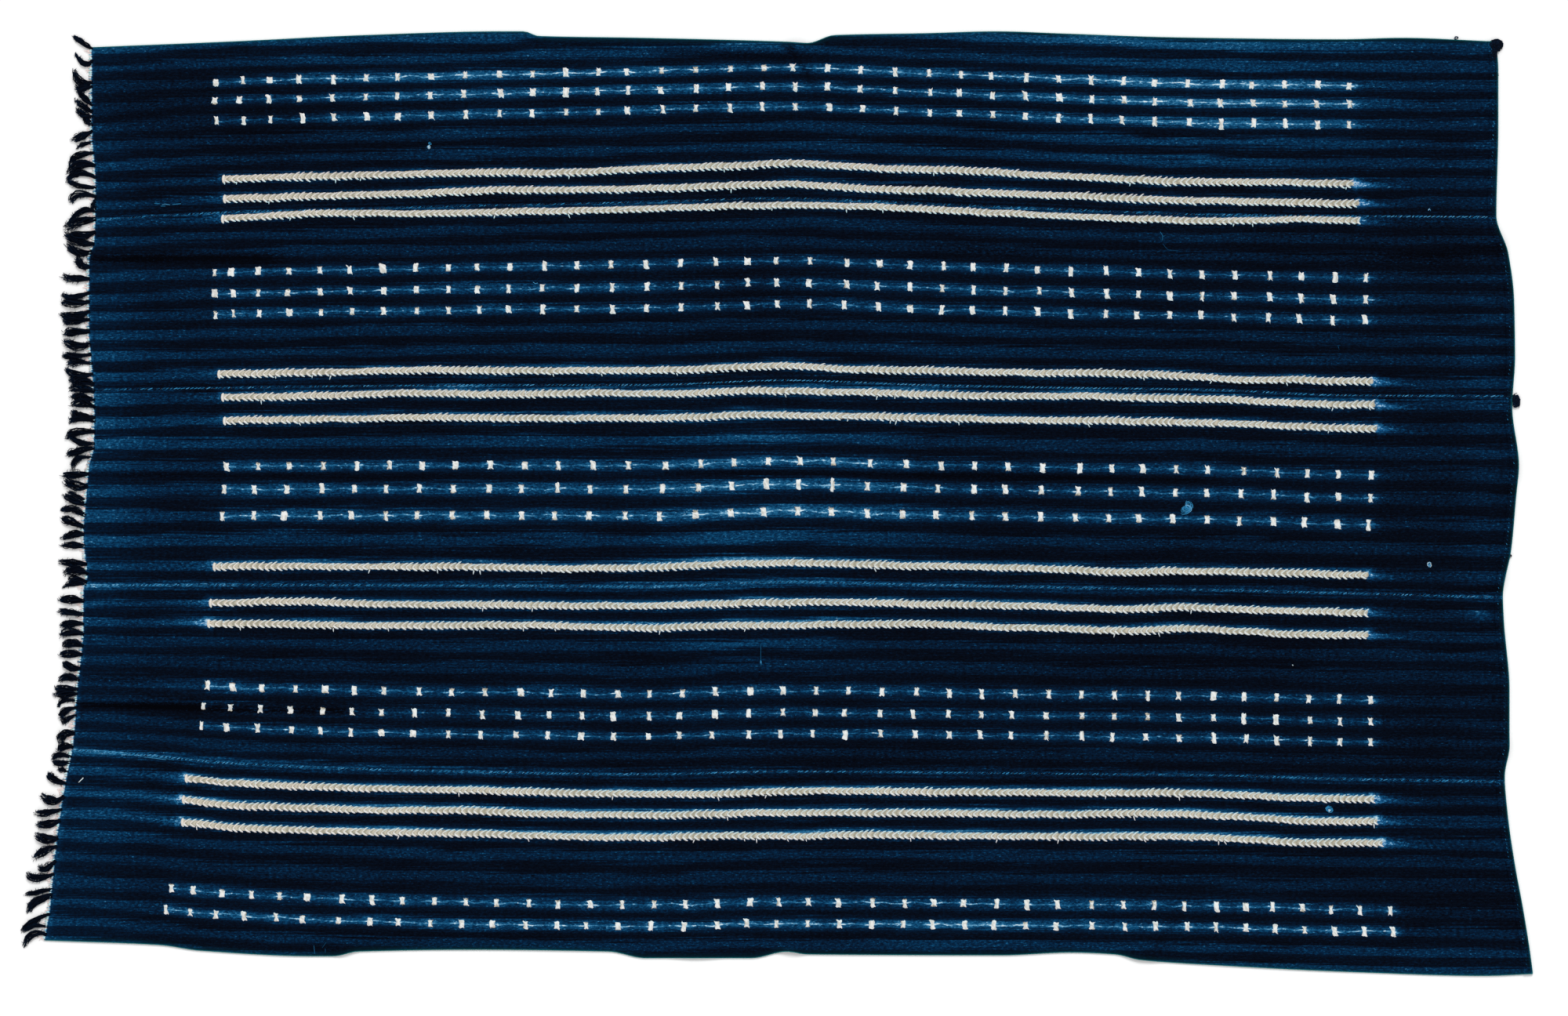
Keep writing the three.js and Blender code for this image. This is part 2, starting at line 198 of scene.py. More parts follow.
# Of each strip: its two courses, how many stripes have passed at a share of its width, its bare
# stitched lines (share, start, end, blue past the start and past the end) and its rows of tied dots
# (share, first, last, blue round them).
strips = {
    "panel_1": {
        "courses": ("top", "seam_1"),
        "stripes": [
            (-0.12, -1.2), (0.023, 0), (0.14, 1), (0.247, 2), (0.355, 3), (0.472, 4), (0.584, 5),
            (0.697, 6), (0.808, 7), (0.922, 8), (1, 8.7),
        ],
        "lines": [(0.808, 212, 1425, 0.25, 1.25), (0.922, 213, 1431, 0.35, 1.1)],
        "dots": [(0.247, 206, 1420, 0.95), (0.355, 205, 1421, 0.85), (0.472, 207, 1420, 0.72)],
    },
    "panel_2": {
        "courses": ("seam_1", "seam_2"),
        "stripes": [
            (0, 8.7), (0.035, 9), (0.135, 10), (0.236, 11), (0.341, 12), (0.464, 13), (0.58, 14),
            (0.69, 15), (0.803, 16), (0.921, 17), (1, 17.6),
        ],
        "lines": [(0.038, 211, 1431, 0.4, 0.7), (0.921, 207, 1446, 0.3, 0.95)],
        "dots": [(0.341, 205, 1438, 0.75), (0.464, 205, 1438, 0.8), (0.58, 206, 1437, 0.75)],
    },
    "panel_3": {
        "courses": ("seam_2", "seam_3"),
        "stripes": [
            (0, 17.6), (0.048, 18), (0.166, 19), (0.281, 20), (0.4, 21), (0.515, 22), (0.65, 23),
            (0.77, 24), (0.907, 25), (1, 26),
        ],
        "lines": [(0.048, 211, 1449, 0.3, 0.95), (0.166, 213, 1450, 0.3, 0.9), (0.907, 202, 1441, 0.4, 0.7)],
        "dots": [(0.4, 218, 1444, 0.8), (0.515, 215, 1443, 0.8), (0.65, 213, 1441, 0.85)],
    },
    "panel_4": {
        "courses": ("seam_3", "seam_4"),
        "stripes": [
            (0, 26), (0.104, 27), (0.22, 28), (0.322, 29), (0.44, 30), (0.573, 31), (0.689, 32),
            (0.799, 33), (0.899, 34), (1, 35),
        ],
        "lines": [(0.104, 198, 1440, 0.55, 0.6), (0.22, 196, 1441, 0.95, 0.75)],
        "dots": [(0.573, 197, 1443, 0.82), (0.689, 193, 1443, 0.68), (0.799, 191, 1443, 0.82)],
    },
    "panel_5": {
        "courses": ("seam_4", "bottom"),
        "stripes": [
            (0, 35), (0.107, 36), (0.225, 37), (0.347, 38), (0.453, 39), (0.578, 40), (0.718, 41),
            (0.836, 42), (0.944, 43), (1.12, 44.6),
        ],
        "lines": [
            (0.107, 172, 1447, 0.6, 0.95), (0.225, 169, 1450, 0.72, 0.8), (0.347, 168, 1456, 0.55, 0.85),
        ],
        "dots": [(0.718, 159, 1464, 0.88), (0.836, 153, 1467, 0.98)],
    },
}


def follow(course, spot):
    """A smooth curve through a course's points that never swings past them."""
    points = np.array(course, float)
    spots, values = points[:, 0], points[:, 1]
    slopes = np.diff(values) / np.diff(spots)
    product = slopes[:-1] * slopes[1:]
    total = np.where(product > 0, slopes[:-1] + slopes[1:], 1)
    tangents = np.concatenate([slopes[:1], np.where(product > 0, 2 * product / total, 0), slopes[-1:]])
    spot = np.asarray(spot, float)
    k = np.clip(np.searchsorted(spots, spot) - 1, 0, len(spots) - 2)
    step = spots[k + 1] - spots[k]
    t = np.clip((spot - spots[k]) / step, 0, 1)
    bend = step * t * (1 - t) * (tangents[k] * (1 - t) - tangents[k + 1] * t)
    return values[k] + (values[k + 1] - values[k]) * t * t * (3 - 2 * t) + bend


def evenly(strip, x):
    """The two courses of a strip as its pattern knows them: an edge strip keeps an even width."""
    upper, lower = strip["courses"]
    if upper == "top":
        low = follow(courses[lower], x)
        return low - edge_strip_width["top"], low
    high = follow(courses[upper], x)
    if lower == "bottom":
        return high, high + edge_strip_width["bottom"]
    return high, follow(courses[lower], x)


def across(strip, x, share):
    """The y of a share of a strip's width, drawn out to the cloth's own edge at an outer selvedge."""
    high, low = evenly(strip, x)
    y = high + (low - high) * share
    upper, lower = strip["courses"]
    if upper == "top":
        y = y + (follow(courses["top"], x) - high) * np.maximum(0, 1 - share / edge_margin["top"])
    if lower == "bottom":
        pull = np.maximum(0, 1 - (1 - share) / edge_margin["bottom"])
        y = y + (follow(courses["bottom"], x) - low) * pull
    y = y + np.where((share == 0) & (upper != "top"), seam_gap / 2, 0)
    return y - np.where((share == 1) & (lower != "bottom"), seam_gap / 2, 0)


# Places where the pattern has been pulled a little out of line. Columns: x, y, reach in x, in y, shift.
sways = [
    (580, 148, 60, 13, 1.7),
    (820, 148, 40, 13, -1.7),
    (1000, 148, 60, 13, -1.3),
    (1220, 150, 70, 13, 1.5),
    (500, 172, 60, 10, -1.8),
    (900, 172, 50, 10, 1.5),
    (1420, 174, 60, 12, 2.0),
    (320, 198, 80, 13, -2.7),
    (940, 198, 80, 13, -2.0),
    (1380, 204, 80, 13, -2.7),
    (415, 388, 60, 34, -1.8),
    (621, 392, 60, 14, -1.5),
    (840, 402, 45, 20, 2.3),
    (880, 360, 40, 14, 1.7),
    (1140, 386, 50, 34, -1.4),
    (1300, 366, 45, 16, 2.8),
    (570, 575, 60, 18, 1.1),
    (732, 573, 50, 18, -1.1),
    (1172, 590, 50, 34, 2.6),
    (288, 617, 60, 13, -2.0),
    (526, 642, 70, 13, -1.8),
    (806, 630, 45, 20, 2.0),
    (966, 642, 50, 13, -1.8),
    (1166, 640, 45, 14, 1.3),
    (1248, 632, 40, 20, -2.0),
    (1366, 646, 60, 13, 1.5),
    (235, 840, 50, 34, 1.3),
    (465, 842, 60, 34, -1.7),
    (742, 818, 60, 14, 1.7),
    (818, 856, 50, 20, 1.5),
    (1210, 842, 70, 34, -1.7),
    (1376, 850, 60, 30, 2.2),
]


def sway(x, y):
    """How far the pattern is pulled down or up at a place, with a little slack all over."""
    total = np.zeros(np.broadcast(x, y).shape)
    for sway_x, sway_y, reach_x, reach_y, shift in sways:
        total += shift * np.exp(-(((x - sway_x) / reach_x) ** 2) - ((y - sway_y) / reach_y) ** 2)
    slack = np.sin(x / 17 + y / 23) * np.sin(x / 41 - y / 13) + 0.5 * np.sin(x / 8.3 + y / 9)
    return 1.2 * total + 0.36 * slack


def pattern_row(strip, x, share):
    """The y of the pattern's row at a share of the strip's width, as it lies now."""
    y = across(strip, x, np.float64(share))
    return y + sway(x, y)


def lift(x, y):
    """How high the folds raise the cloth: the highest of them wherever some meet."""
    height = np.zeros(np.broadcast(x, y).shape)
    for x1, y1, x2, y2, rise1, rise2, above, below in folds:
        length = math.hypot(x2 - x1, y2 - y1)
        way = ((x - x1) * (x2 - x1) + (y - y1) * (y2 - y1)) / length
        side = ((x - x1) * (y2 - y1) - (y - y1) * (x2 - x1)) / length
        turn = 1 if x2 >= x1 else -1
        width = np.where(side * turn > 0, above, below)
        past = np.maximum(0, np.maximum(-way, way - length))
        far = np.minimum(np.hypot(side, past) / width, 1)
        rise = rise1 + (rise2 - rise1) * np.clip(way / length, 0, 1)
        height = np.maximum(height, rise * (1 - far * far) ** 2)
    return height


def ripple(x, y):
    """The small unevenness of a cloth that has been pulled flat: long low waves across the strips."""
    slow = np.sin(x / 61 + 1.3 * np.sin(y / 83)) * np.sin(y / 47 + 0.8 * np.sin(x / 140))
    quick = np.sin(x / 23 + 2.1 * np.sin(y / 39 + 2)) * np.sin(y / 15 + 1.7 * np.sin(x / 52))
    return 0.3 + 0.2 * slow + 0.1 * quick


def on_cloth(pixel_x, pixel_y):
    """Millimetres on the cloth from a place in the photograph's pixels."""
    return (pixel_x - origin_pixel[0]) * pixel, (pixel_y - origin_pixel[1]) * pixel


def place(x, y, z):
    """Points in metres in the frame, from millimetres on the cloth."""
    spots = np.broadcast_arrays(
        cad_high.x - (cloth_length - np.asarray(x, float)) / 1000,
        cad_high.y - np.asarray(y, float) / 1000,
        np.asarray(z, float) / 1000,
    )
    return np.stack([spot.ravel() for spot in spots], axis=1)


def make_piece(name, points, faces, values, material, sharp=True):
    """A smooth-shaded piece from points in metres, with named values at its points."""
    mesh = bpy.data.meshes.new(name)
    mesh.from_pydata(points.tolist(), [], faces)
    mesh.polygons.foreach_set("use_smooth", np.ones(len(mesh.polygons), bool))
    for label, numbers in values.items():
        layer = mesh.attributes.new(label, "FLOAT", "POINT")
        layer.data.foreach_set("value", numbers.astype(np.float32))
    mesh.update()
    if sharp:
        mesh.set_sharp_from_angle(angle=math.radians(sharp_angle))
    mesh.materials.append(material)
    piece = bpy.data.objects.new(name, mesh)
    bpy.context.scene.collection.objects.link(piece)
    return piece


# The dye and the weave, as two effects that the finishes share. Indigo runs from nearly black where
# the yarn drank most, through blue, to the pale tint at the rim of a tied place.
def feed(tree, socket, value):
    if isinstance(value, bpy.types.NodeSocket):
        tree.links.new(value, socket)
    else:
        socket.default_value = value


def add_node(tree, kind, feeds=None, **settings):
    """A node with its settings, and with a number or another node's output fed to its inputs."""
    node = tree.nodes.new(kind)
    for setting, value in settings.items():
        setattr(node, setting, value)
    for label, value in (feeds or {}).items():
        feed(tree, node.inputs[label], value)
    return node


def reckon(tree, operation, *values, clamp=False):
    feeds = dict(enumerate(values))
    return add_node(tree, "ShaderNodeMath", feeds, operation=operation, use_clamp=clamp).outputs[0]


def times(tree, product, *others):
    for other in others:
        product = reckon(tree, "MULTIPLY", product, other)
    return product


def add_shares(tree, total, *shares):
    """A value with more added to it, given as pairs of a cause and its gain."""
    for cause, gain in shares:
        total = reckon(tree, "MULTIPLY_ADD", cause, gain, total)
    return total


def centred(tree, value):
    return reckon(tree, "SUBTRACT", value, 0.5)


def span(tree, value, low, high, to_low=0.0, to_high=1.0, smooth=False):
    """Where a value stands between low and high, laid out between two other numbers."""
    feeds = dict(enumerate((value, low, high, to_low, to_high)))
    kind = "SMOOTHSTEP" if smooth else "LINEAR"
    return add_node(tree, "ShaderNodeMapRange", feeds, interpolation_type=kind).outputs[0]


def hump(tree, distance, width):
    """1 where the distance is nothing, fading away over the width."""
    ratio = reckon(tree, "DIVIDE", distance, width)
    return reckon(tree, "EXPONENT", times(tree, ratio, ratio, -1.0))


def shade(colour):
    """Linear colour for a shader from the 0 to 255 numbers of a paint chart."""
    linear = [((c / 255 + 0.055) / 1.055) ** 2.4 if c > 10 else c / 255 / 12.92 for c in colour]
    return (*linear, 1)


def blend_colours(tree, share, first, second):
    feeds = {"Factor": share}
    for socket, colour in ((6, first), (7, second)):
        feeds[socket] = colour if isinstance(colour, bpy.types.NodeSocket) else shade(colour)
    return add_node(tree, "ShaderNodeMix", feeds, data_type="RGBA").outputs[2]


def read_values(tree, *labels):
    """What a piece's own points carry under these labels."""
    return [add_node(tree, "ShaderNodeAttribute", attribute_name=label).outputs["Fac"] for label in labels]


def in_millimetres(tree):
    """x and y on the cloth's own face, in millimetres."""
    spot = add_node(tree, "ShaderNodeTexCoord").outputs["Object"]
    return add_node(tree, "ShaderNodeVectorMath", {0: spot, "Scale": 1000}, operation="SCALE").outputs[0]


def stretch(tree, vector, sizes):
    return add_node(tree, "ShaderNodeVectorMath", {0: vector, 1: sizes}, operation="DIVIDE").outputs[0]


def noise(tree, vector, sizes, detail=2.0, roughness=0.5):
    """Soft unevenness between 0 and 1, with blots about as large as the sizes."""
    feeds = {"Vector": stretch(tree, vector, sizes), "Scale": 1, "Detail": detail, "Roughness": roughness}
    return add_node(tree, "ShaderNodeTexNoise", feeds, noise_dimensions="3D").outputs[0]


def start_group(name, inputs, outputs):
    group = bpy.data.node_groups.new(name, "ShaderNodeTree")
    for label, default in inputs:
        socket = group.interface.new_socket(label, in_out="INPUT", socket_type="NodeSocketFloat")
        socket.default_value = default
    for label, kind in outputs:
        group.interface.new_socket(label, in_out="OUTPUT", socket_type=kind)
    return group, group.nodes.new("NodeGroupInput"), group.nodes.new("NodeGroupOutput")


def use_group(tree, group, **values):
    return add_node(tree, "ShaderNodeGroup", values, node_tree=group)


indigo_dye, dye_in, dye_out = start_group(
    "indigo dye", [("Paleness", 0.2)], [("Color", "NodeSocketColor")]
)
# Columns: paleness, then the dye's colour there.
dye_steps = [
    (0, (3, 4, 9)),
    (0.13, (5, 11, 23)),
    (0.3, (5, 26, 49)),
    (0.42, (6, 42, 73)),
    (0.56, (13, 69, 107)),
    (0.7, (36, 101, 141)),
    (0.85, (108, 165, 196)),
    (1, (212, 226, 230)),
]
dye_ramp = indigo_dye.nodes.new("ShaderNodeValToRGB")
steps = dye_ramp.color_ramp.elements
for index, (paleness, colour) in enumerate(dye_steps):
    step = steps[index] if index < 2 else steps.new(1)
    step.position = paleness
    step.color = shade(colour)
feed(indigo_dye, dye_ramp.inputs[0], dye_in.outputs["Paleness"])
feed(indigo_dye, dye_out.inputs["Color"], dye_ramp.outputs[0])

plain_weave, weave_in, weave_out = start_group(
    "hand weave",
    [("Warp pitch", 0.72), ("Weft pitch", 1.05)],
    [
        ("Height", "NodeSocketFloat"), ("Streak", "NodeSocketFloat"),
        ("Yarn", "NodeSocketFloat"), ("Fleck", "NodeSocketFloat"),
    ],
)
weave_spot = in_millimetres(plain_weave)
weave_axes = add_node(plain_weave, "ShaderNodeSeparateXYZ", {0: weave_spot}).outputs
slack = noise(plain_weave, weave_spot, (9, 9, 9))
waves = []
for axis, sag, pitch in ((0, 1.4, "Weft pitch"), (1, 0.9, "Warp pitch")):
    place_now = add_shares(plain_weave, weave_axes[axis], (slack, sag))
    yarns_passed = reckon(plain_weave, "DIVIDE", place_now, weave_in.outputs[pitch])
    waves.append(reckon(plain_weave, "COSINE", times(plain_weave, yarns_passed, math.pi)))
warp_round = reckon(plain_weave, "ABSOLUTE", waves[1])
cell_sizes = stretch(plain_weave, weave_spot, (2.3, 0.86, 500))
cell = add_node(plain_weave, "ShaderNodeVectorMath", {0: cell_sizes}, operation="FLOOR").outputs[0]
chance = add_node(plain_weave, "ShaderNodeTexWhiteNoise", {"Vector": cell}, noise_dimensions="3D")
fleck_there = span(plain_weave, chance.outputs["Value"], 0.72, 1.0)
fleck_round = span(plain_weave, noise(plain_weave, weave_spot, (1.6, 0.9, 3), 1), 0.42, 0.7)
weave_results = {
    "Height": add_shares(plain_weave, warp_round, (times(plain_weave, *waves), 0.5)),
    "Streak": noise(plain_weave, weave_spot, (95, 1.9, 40), 3),
    "Yarn": noise(plain_weave, weave_spot, (4.2, 1.7, 40), 2, 0.7),
    "Fleck": times(plain_weave, fleck_there, fleck_round),
}
for label, result in weave_results.items():
    feed(plain_weave, weave_out.inputs[label], result)

# The dyed cotton of the five strips. Each is hand-loomed in narrow dark and light warp stripes, then
# tied and stitched before it goes into the dye, and what was tied or stitched stays bare.
stripe_pitch = 20.5
dot_pitch = 35
gather_pitch = 6.4
line_half_width = 2.9
line_rise = 0.5
line_lead = 2.0


def past_nearest(tree, counted, pitch):
    """How far past the nearest whole count a place is, in millimetres."""
    return times(tree, reckon(tree, "SUBTRACT", counted, reckon(tree, "ROUND", counted)), pitch)


def end_finish(tree, shader, colour, yarn, rough, relief, strength, depth):
    """Gives a shader its colour, a roughness that varies with the yarn, and its relief in metres."""
    feed(tree, shader.inputs["Base Color"], colour)
    feed(tree, shader.inputs["Roughness"], span(tree, yarn, 0.2, 0.8, *rough))
    bump = add_node(tree, "ShaderNodeBump", {"Strength": strength, "Distance": depth, "Height": relief})
    feed(tree, shader.inputs["Normal"], bump.outputs[0])


indigo_cloth, tree, cloth_shader = start_finish("indigo dyed cotton", 0.012)
weave = use_group(tree, plain_weave).outputs
spot = in_millimetres(tree)
axes = add_node(tree, "ShaderNodeSeparateXYZ", {0: spot}).outputs
stripe, count, tied, band, flare = read_values(tree, "stripe", "count", "tied", "band", "flare")
tone_and_painted_light, contrast, deep, worn = read_values(tree, "tone_and_painted_light", "contrast", "deep", "worn")
seam_near, rim_near = read_values(tree, "seam", "rim")

# The stripes of the warp, with ragged sides, and the blots and flecks that the bath left in them.
streak = centred(tree, weave["Streak"])
yarn = centred(tree, weave["Yarn"])
blotch = centred(tree, noise(tree, spot, (120, 40, 100), 3))
slow_drift = centred(tree, noise(tree, spot, (210, 9, 100), 2))
ragged = add_shares(tree, stripe, (slow_drift, 0.5), (streak, 0.85))
light = span(tree, reckon(tree, "COSINE", times(tree, ragged, 2 * math.pi)), -0.7, 0.75, smooth=True)
# The cloth's paler and deeper places bring the painted shade and painted highlight of the folds in here.
amount = reckon(tree, "ADD", contrast, times(tree, tone_and_painted_light, 5.0))
paleness = add_shares(
    tree, deep, (times(tree, light, amount), 0.2), (tone_and_painted_light, 0.35), (streak, 0.2),
    (yarn, add_shares(tree, 0.42, (light, 0.38))), (blotch, 0.12),
    (weave["Fleck"], add_shares(tree, 0.14, (light, 0.16))),
)

# The glow round the tied rows, their thread lines, the blue past the bare lines, and the pale lines along
# the seams.
below_row = past_nearest(tree, stripe, stripe_pitch)
past_dot = past_nearest(tree, count, dot_pitch)
row_glow = times(tree, hump(tree, below_row, 6.8), tied)
near_dot = times(tree, hump(tree, past_dot, 9.0), hump(tree, below_row, 4.2), tied)
wobble = centred(tree, noise(tree, spot, (21, 30, 100), 1))
broken = span(tree, noise(tree, spot, (9, 8, 100), 2), 0.3, 0.66, 0.15, 1.0)
thread_line = times(tree, hump(tree, add_shares(tree, below_row, (wobble, 5.0)), 0.62), broken, tied)
thread_gain = add_shares(tree, 0.34, (hump(tree, past_dot, 11.0), 0.2))
above_line = span(tree, below_row, 1.0, -3.0)
line_glow = times(tree, hump(tree, reckon(tree, "MAXIMUM", band, 0.0), 4.6), above_line)
glow_gain = span(tree, axes[1], -300, 300, 0.36, 0.12)
feather = span(tree, weave["Yarn"], 0.3, 0.7, 0.25, 1.35)
seam_break = span(tree, noise(tree, spot, (4.5, 6, 100), 2), 0.4, 0.6, 0.3, 1.0)
seam_fade = span(tree, noise(tree, spot, (130, 60, 100), 2), 0.35, 0.6, 0.35, 1.0)
first_line, second_line = (hump(tree, reckon(tree, "SUBTRACT", seam_near, off), 0.8) for off in (0.9, 4.6))
seam_line = times(tree, add_shares(tree, first_line, (second_line, 0.4)), seam_break, seam_fade)
paleness = add_shares(
    tree, paleness, (row_glow, 0.16), (near_dot, 0.17), (thread_line, thread_gain),
    (line_glow, glow_gain), (times(tree, flare, feather), 0.62), (seam_line, 0.36),
)
paleness = reckon(tree, "ADD", paleness, worn, clamp=True)
dyed = use_group(tree, indigo_dye, Paleness=paleness).outputs["Color"]
dyed = blend_colours(tree, span(tree, flare, 0.15, 1.0, 0.0, 0.35, smooth=True), dyed, (30, 108, 172))
dyed = blend_colours(tree, span(tree, rim_near, 7, 1, 0.0, 0.22, smooth=True), dyed, (3, 50, 62))
dyed = blend_colours(tree, times(tree, hump(tree, rim_near, 0.8), 0.85), dyed, (30, 112, 116))

# The bare yarn of the lines and dots, with a ragged rim, and the painted shade of its small gathers.
rough_edge = centred(tree, noise(tree, spot, (1.7, 1.1, 10), 2))
line_bare = span(tree, add_shares(tree, band, (rough_edge, 2.4)), 0.45, -0.35, smooth=True)
off_row = reckon(tree, "ABSOLUTE", below_row)
dot_side = reckon(tree, "ABSOLUTE", past_dot)
dot_side = reckon(tree, "SUBTRACT", dot_side, add_shares(tree, 1.35, (off_row, 0.3)))
dot_far = reckon(tree, "MAXIMUM", dot_side, reckon(tree, "SUBTRACT", off_row, 3.1))
dot_bare = span(tree, add_shares(tree, dot_far, (rough_edge, 2.4)), 0.5, -0.3, smooth=True)
dot_bare = times(tree, dot_bare, reckon(tree, "GREATER_THAN", tied, 0.3))
bare = reckon(tree, "MAXIMUM", line_bare, dot_bare)
gather = reckon(tree, "DIVIDE", add_shares(tree, axes[0], (off_row, -0.8)), gather_pitch / (2 * math.pi))
gather = add_shares(tree, 0.5, (reckon(tree, "SINE", gather), 0.5))
# Painted shade: the bare cream runs darker and lighter across each gather, as shade and light on its folds.
undyed = blend_colours(tree, gather, (152, 148, 131), (190, 184, 168))
final = blend_colours(tree, bare, dyed, undyed)
relief = add_shares(tree, weave["Height"], (times(tree, gather, line_bare), 2.2), (weave["Streak"], 1.2))
end_finish(tree, cloth_shader, final, weave["Yarn"], (0.82, 0.98), relief, 0.35, 0.00022)

# The five strips themselves, each about 190 mm wide and 1.52 m long, as double-faced sheets on the
# folds of their solids. The last 10 mm at the right is turned over and sewn down as a hem.
column_step = 5
row_step = 2.4
usual_width = 190
half_way_x = 800.0
rim_drop = 0.35
fixed_span = (110, 1553)
end_columns = 10
hem_columns = [0, 0.4, 1.2, 3, 6, 9.3, 9.9, 10.4]
hem_rise = 1.3
rolled_selvedge = {"from": 536, "to": 845, "width": 8, "height": 1.4}
welt_height = 0.35
# Where the tied dots of each strip stand, on average over its rows, in the photograph's pixels.
dot_spots = {
    "panel_1": [
        275, 308, 343, 383, 424, 466, 508, 550, 593, 638, 679, 721, 762, 800, 844, 887, 930, 973, 1013, 1055,
        1099, 1143, 1185, 1225, 1265, 1308, 1351, 1391, 1432, 1474, 1516, 1558, 1598, 1638, 1680, 1721,
    ],
    "panel_2": [
        274, 296, 328, 368, 407, 447, 489, 530, 571, 610, 649, 693, 736, 779, 824, 868, 913, 952, 991, 1033,
        1078, 1120, 1161, 1202, 1242, 1283, 1324, 1366, 1410, 1452, 1491, 1533, 1573, 1618, 1659, 1701, 1741,
    ],
    "panel_3": [
        286, 326, 366, 410, 452, 494, 536, 578, 622, 666, 710, 753, 799, 845, 891, 935, 978, 1019, 1062,
        1107, 1152, 1198, 1241, 1283, 1328, 1375, 1416, 1456, 1499, 1540, 1584, 1626, 1666, 1707, 1748,
    ],
    "panel_4": [
        261, 294, 332, 373, 411, 449, 488, 531, 574, 617, 661, 701, 743, 785, 828, 868, 911, 956, 998, 1039,
        1079, 1123, 1167, 1211, 1250, 1292, 1335, 1379, 1420, 1463, 1504, 1547, 1588, 1629, 1670, 1708, 1748,
    ],
    "panel_5": [
        216, 245, 280, 317, 354, 390, 433, 474, 512, 552, 592, 632, 674, 711, 750, 790, 832, 874, 914, 954,
        991, 1030, 1069, 1112, 1152, 1190, 1230, 1269, 1309, 1348, 1391, 1433, 1472, 1512, 1551, 1588, 1625,
        1663, 1700, 1737, 1774,
    ],
}
# Places where the cloth is paler or deeper than around them: partly uneven dye, partly painted highlight
# and painted shade at folds such as the rolled top edge. Columns: x, y, reach in x, reach in y, gain.
dye_and_shade_patches = [
    (110, 430, 150, 120, 0.01),
    (140, 78, 150, 50, -0.1),
    (250, 100, 90, 50, -0.03),
    (330, 75, 150, 60, -0.02),
    (110, 285, 120, 34, -0.02),
    (110, 690, 110, 50, -0.04),
    (110, 832, 70, 26, 0.03),
    (130, 925, 120, 40, -0.02),
    (770, 500, 90, 100, 0.1),
    (770, 655, 90, 36, 0.05),
    (740, 300, 60, 16, 0.03),
    (1260, 75, 260, 80, 0.11),
    (400, 40, 240, 60, 0.05),
    (600, 95, 60, 30, -0.03),
    (1030, 236, 120, 14, -0.05),
    (1230, 280, 160, 30, -0.05),
    (1070, 470, 160, 60, -0.02),
    (1300, 560, 260, 120, -0.04),
    (1230, 655, 200, 50, -0.03),
    (950, 780, 200, 30, -0.03),
    (1505, 222, 110, 34, -0.08),
    (1510, 490, 110, 90, -0.035),
    (1510, 780, 110, 60, -0.04),
    (1510, 935, 110, 34, -0.05),
    (1510, 996, 120, 20, 0.06),
    (800, 1000, 600, 16, 0.06),
    (1250, 1000, 200, 22, 0.06),
    (1261, 138, 14, 2.4, 0.12),
    (770, 430, 90, 30, 0.04),
    (770, 562, 90, 20, 0.04),
    (770, 268, 90, 30, -0.04),
    (1510, 428, 100, 14, -0.04),
    (1510, 246, 100, 10, -0.05),
    (1510, 226, 80, 7, 0.06),
    (1560, 622, 12, 7, 0.14),
    (780, 12, 70, 7, 0.16),
    (1240, 10, 200, 8, 0.08),
    (1510, 14, 90, 8, -0.02),
    (764, 275, 100, 40, -0.06),
    (1033, 270, 80, 40, 0.025),
    (1033, 490, 80, 50, -0.045),
    (764, 530, 60, 12, -0.07),
    (1500, 110, 90, 40, -0.03),
    (1015, 959, 70, 8, 0.1),
    (764, 957, 60, 8, 0.03),
    (1015, 980, 100, 8, 0.06),
    (1040, 70, 120, 50, -0.045),
    (770, 30, 60, 10, -0.09),
    (1033, 236, 60, 9, -0.05),
    (1505, 236, 90, 9, -0.05),
    (412, 424, 60, 9, -0.05),
    (764, 424, 60, 9, 0.07),
    (1033, 426, 60, 9, -0.04),
    (764, 540, 60, 9, 0.05),
    (764, 625, 50, 8, 0.07),
    (764, 602, 60, 6, 0.06),
    (764, 657, 60, 9, 0.07),
    (84, 695, 50, 8, -0.09),
    (412, 781, 60, 6, 0.07),
    (200, 386, 130, 14, -0.07),
    (300, 592, 90, 12, -0.05),
    (750, 592, 250, 12, 0.04),
    (900, 490, 60, 90, 0.05),
    (900, 797, 450, 14, -0.04),
    (260, 90, 150, 70, -0.02),
    (85, 480, 30, 260, 0.05),
    (1560, 400, 24, 300, 0.05),
]
# Painted shade along the folds, in long narrow bands where the cloth dips behind its swell, and painted
# highlight where the gain is above nothing. Columns: x1, y1, x2, y2, half width, gain.
painted_fold_shading = [
    (50, 243, 250, 245, 6, -0.28),
    (250, 245, 470, 250, 4, -0.06),
    (50, 474, 420, 477, 4, -0.17),
    (700, 472, 1240, 480, 3.2, -0.24),
    (40, 722, 330, 728, 4, -0.3),
    (330, 725, 520, 735, 5, -0.07),
    (40, 702, 220, 704, 6, 0.1),
    (812, 4, 832, 34, 5, -0.14),
    (1500, 236, 1600, 229, 5, -0.08),
    (1500, 601, 1590, 596, 5, -0.06),
    (1200, 1004, 1240, 940, 7, -0.06),
    (700, 22, 812, 27, 4, -0.08),
    (50, 661, 130, 662, 5, 0.12),
    (50, 766, 470, 790, 8, 0.07),
]
# Warp stripes that took the dye more or less than the rest. Columns: stripe, gain of its lightness.
stripe_gains = [
    (0, 1.25), (1, 1.0), (6, 1.1), (7, 0.95), (11, 0.85), (15, 0.95), (16, 1.0), (17, 1.15), (18, 1.15),
    (19, 1.15), (20, 1.2), (21, 0.95), (24, 1.1), (25, 1.1), (27, 1.0), (28, 1.05), (29, 0.9), (30, 0.8),
    (31, 0.7), (32, 0.7), (33, 0.75), (34, 0.75), (36, 1.1), (37, 1.15), (38, 1.05), (39, 0.95),
    (40, 0.8), (41, 0.8), (42, 1.0), (43, 0.95),
]
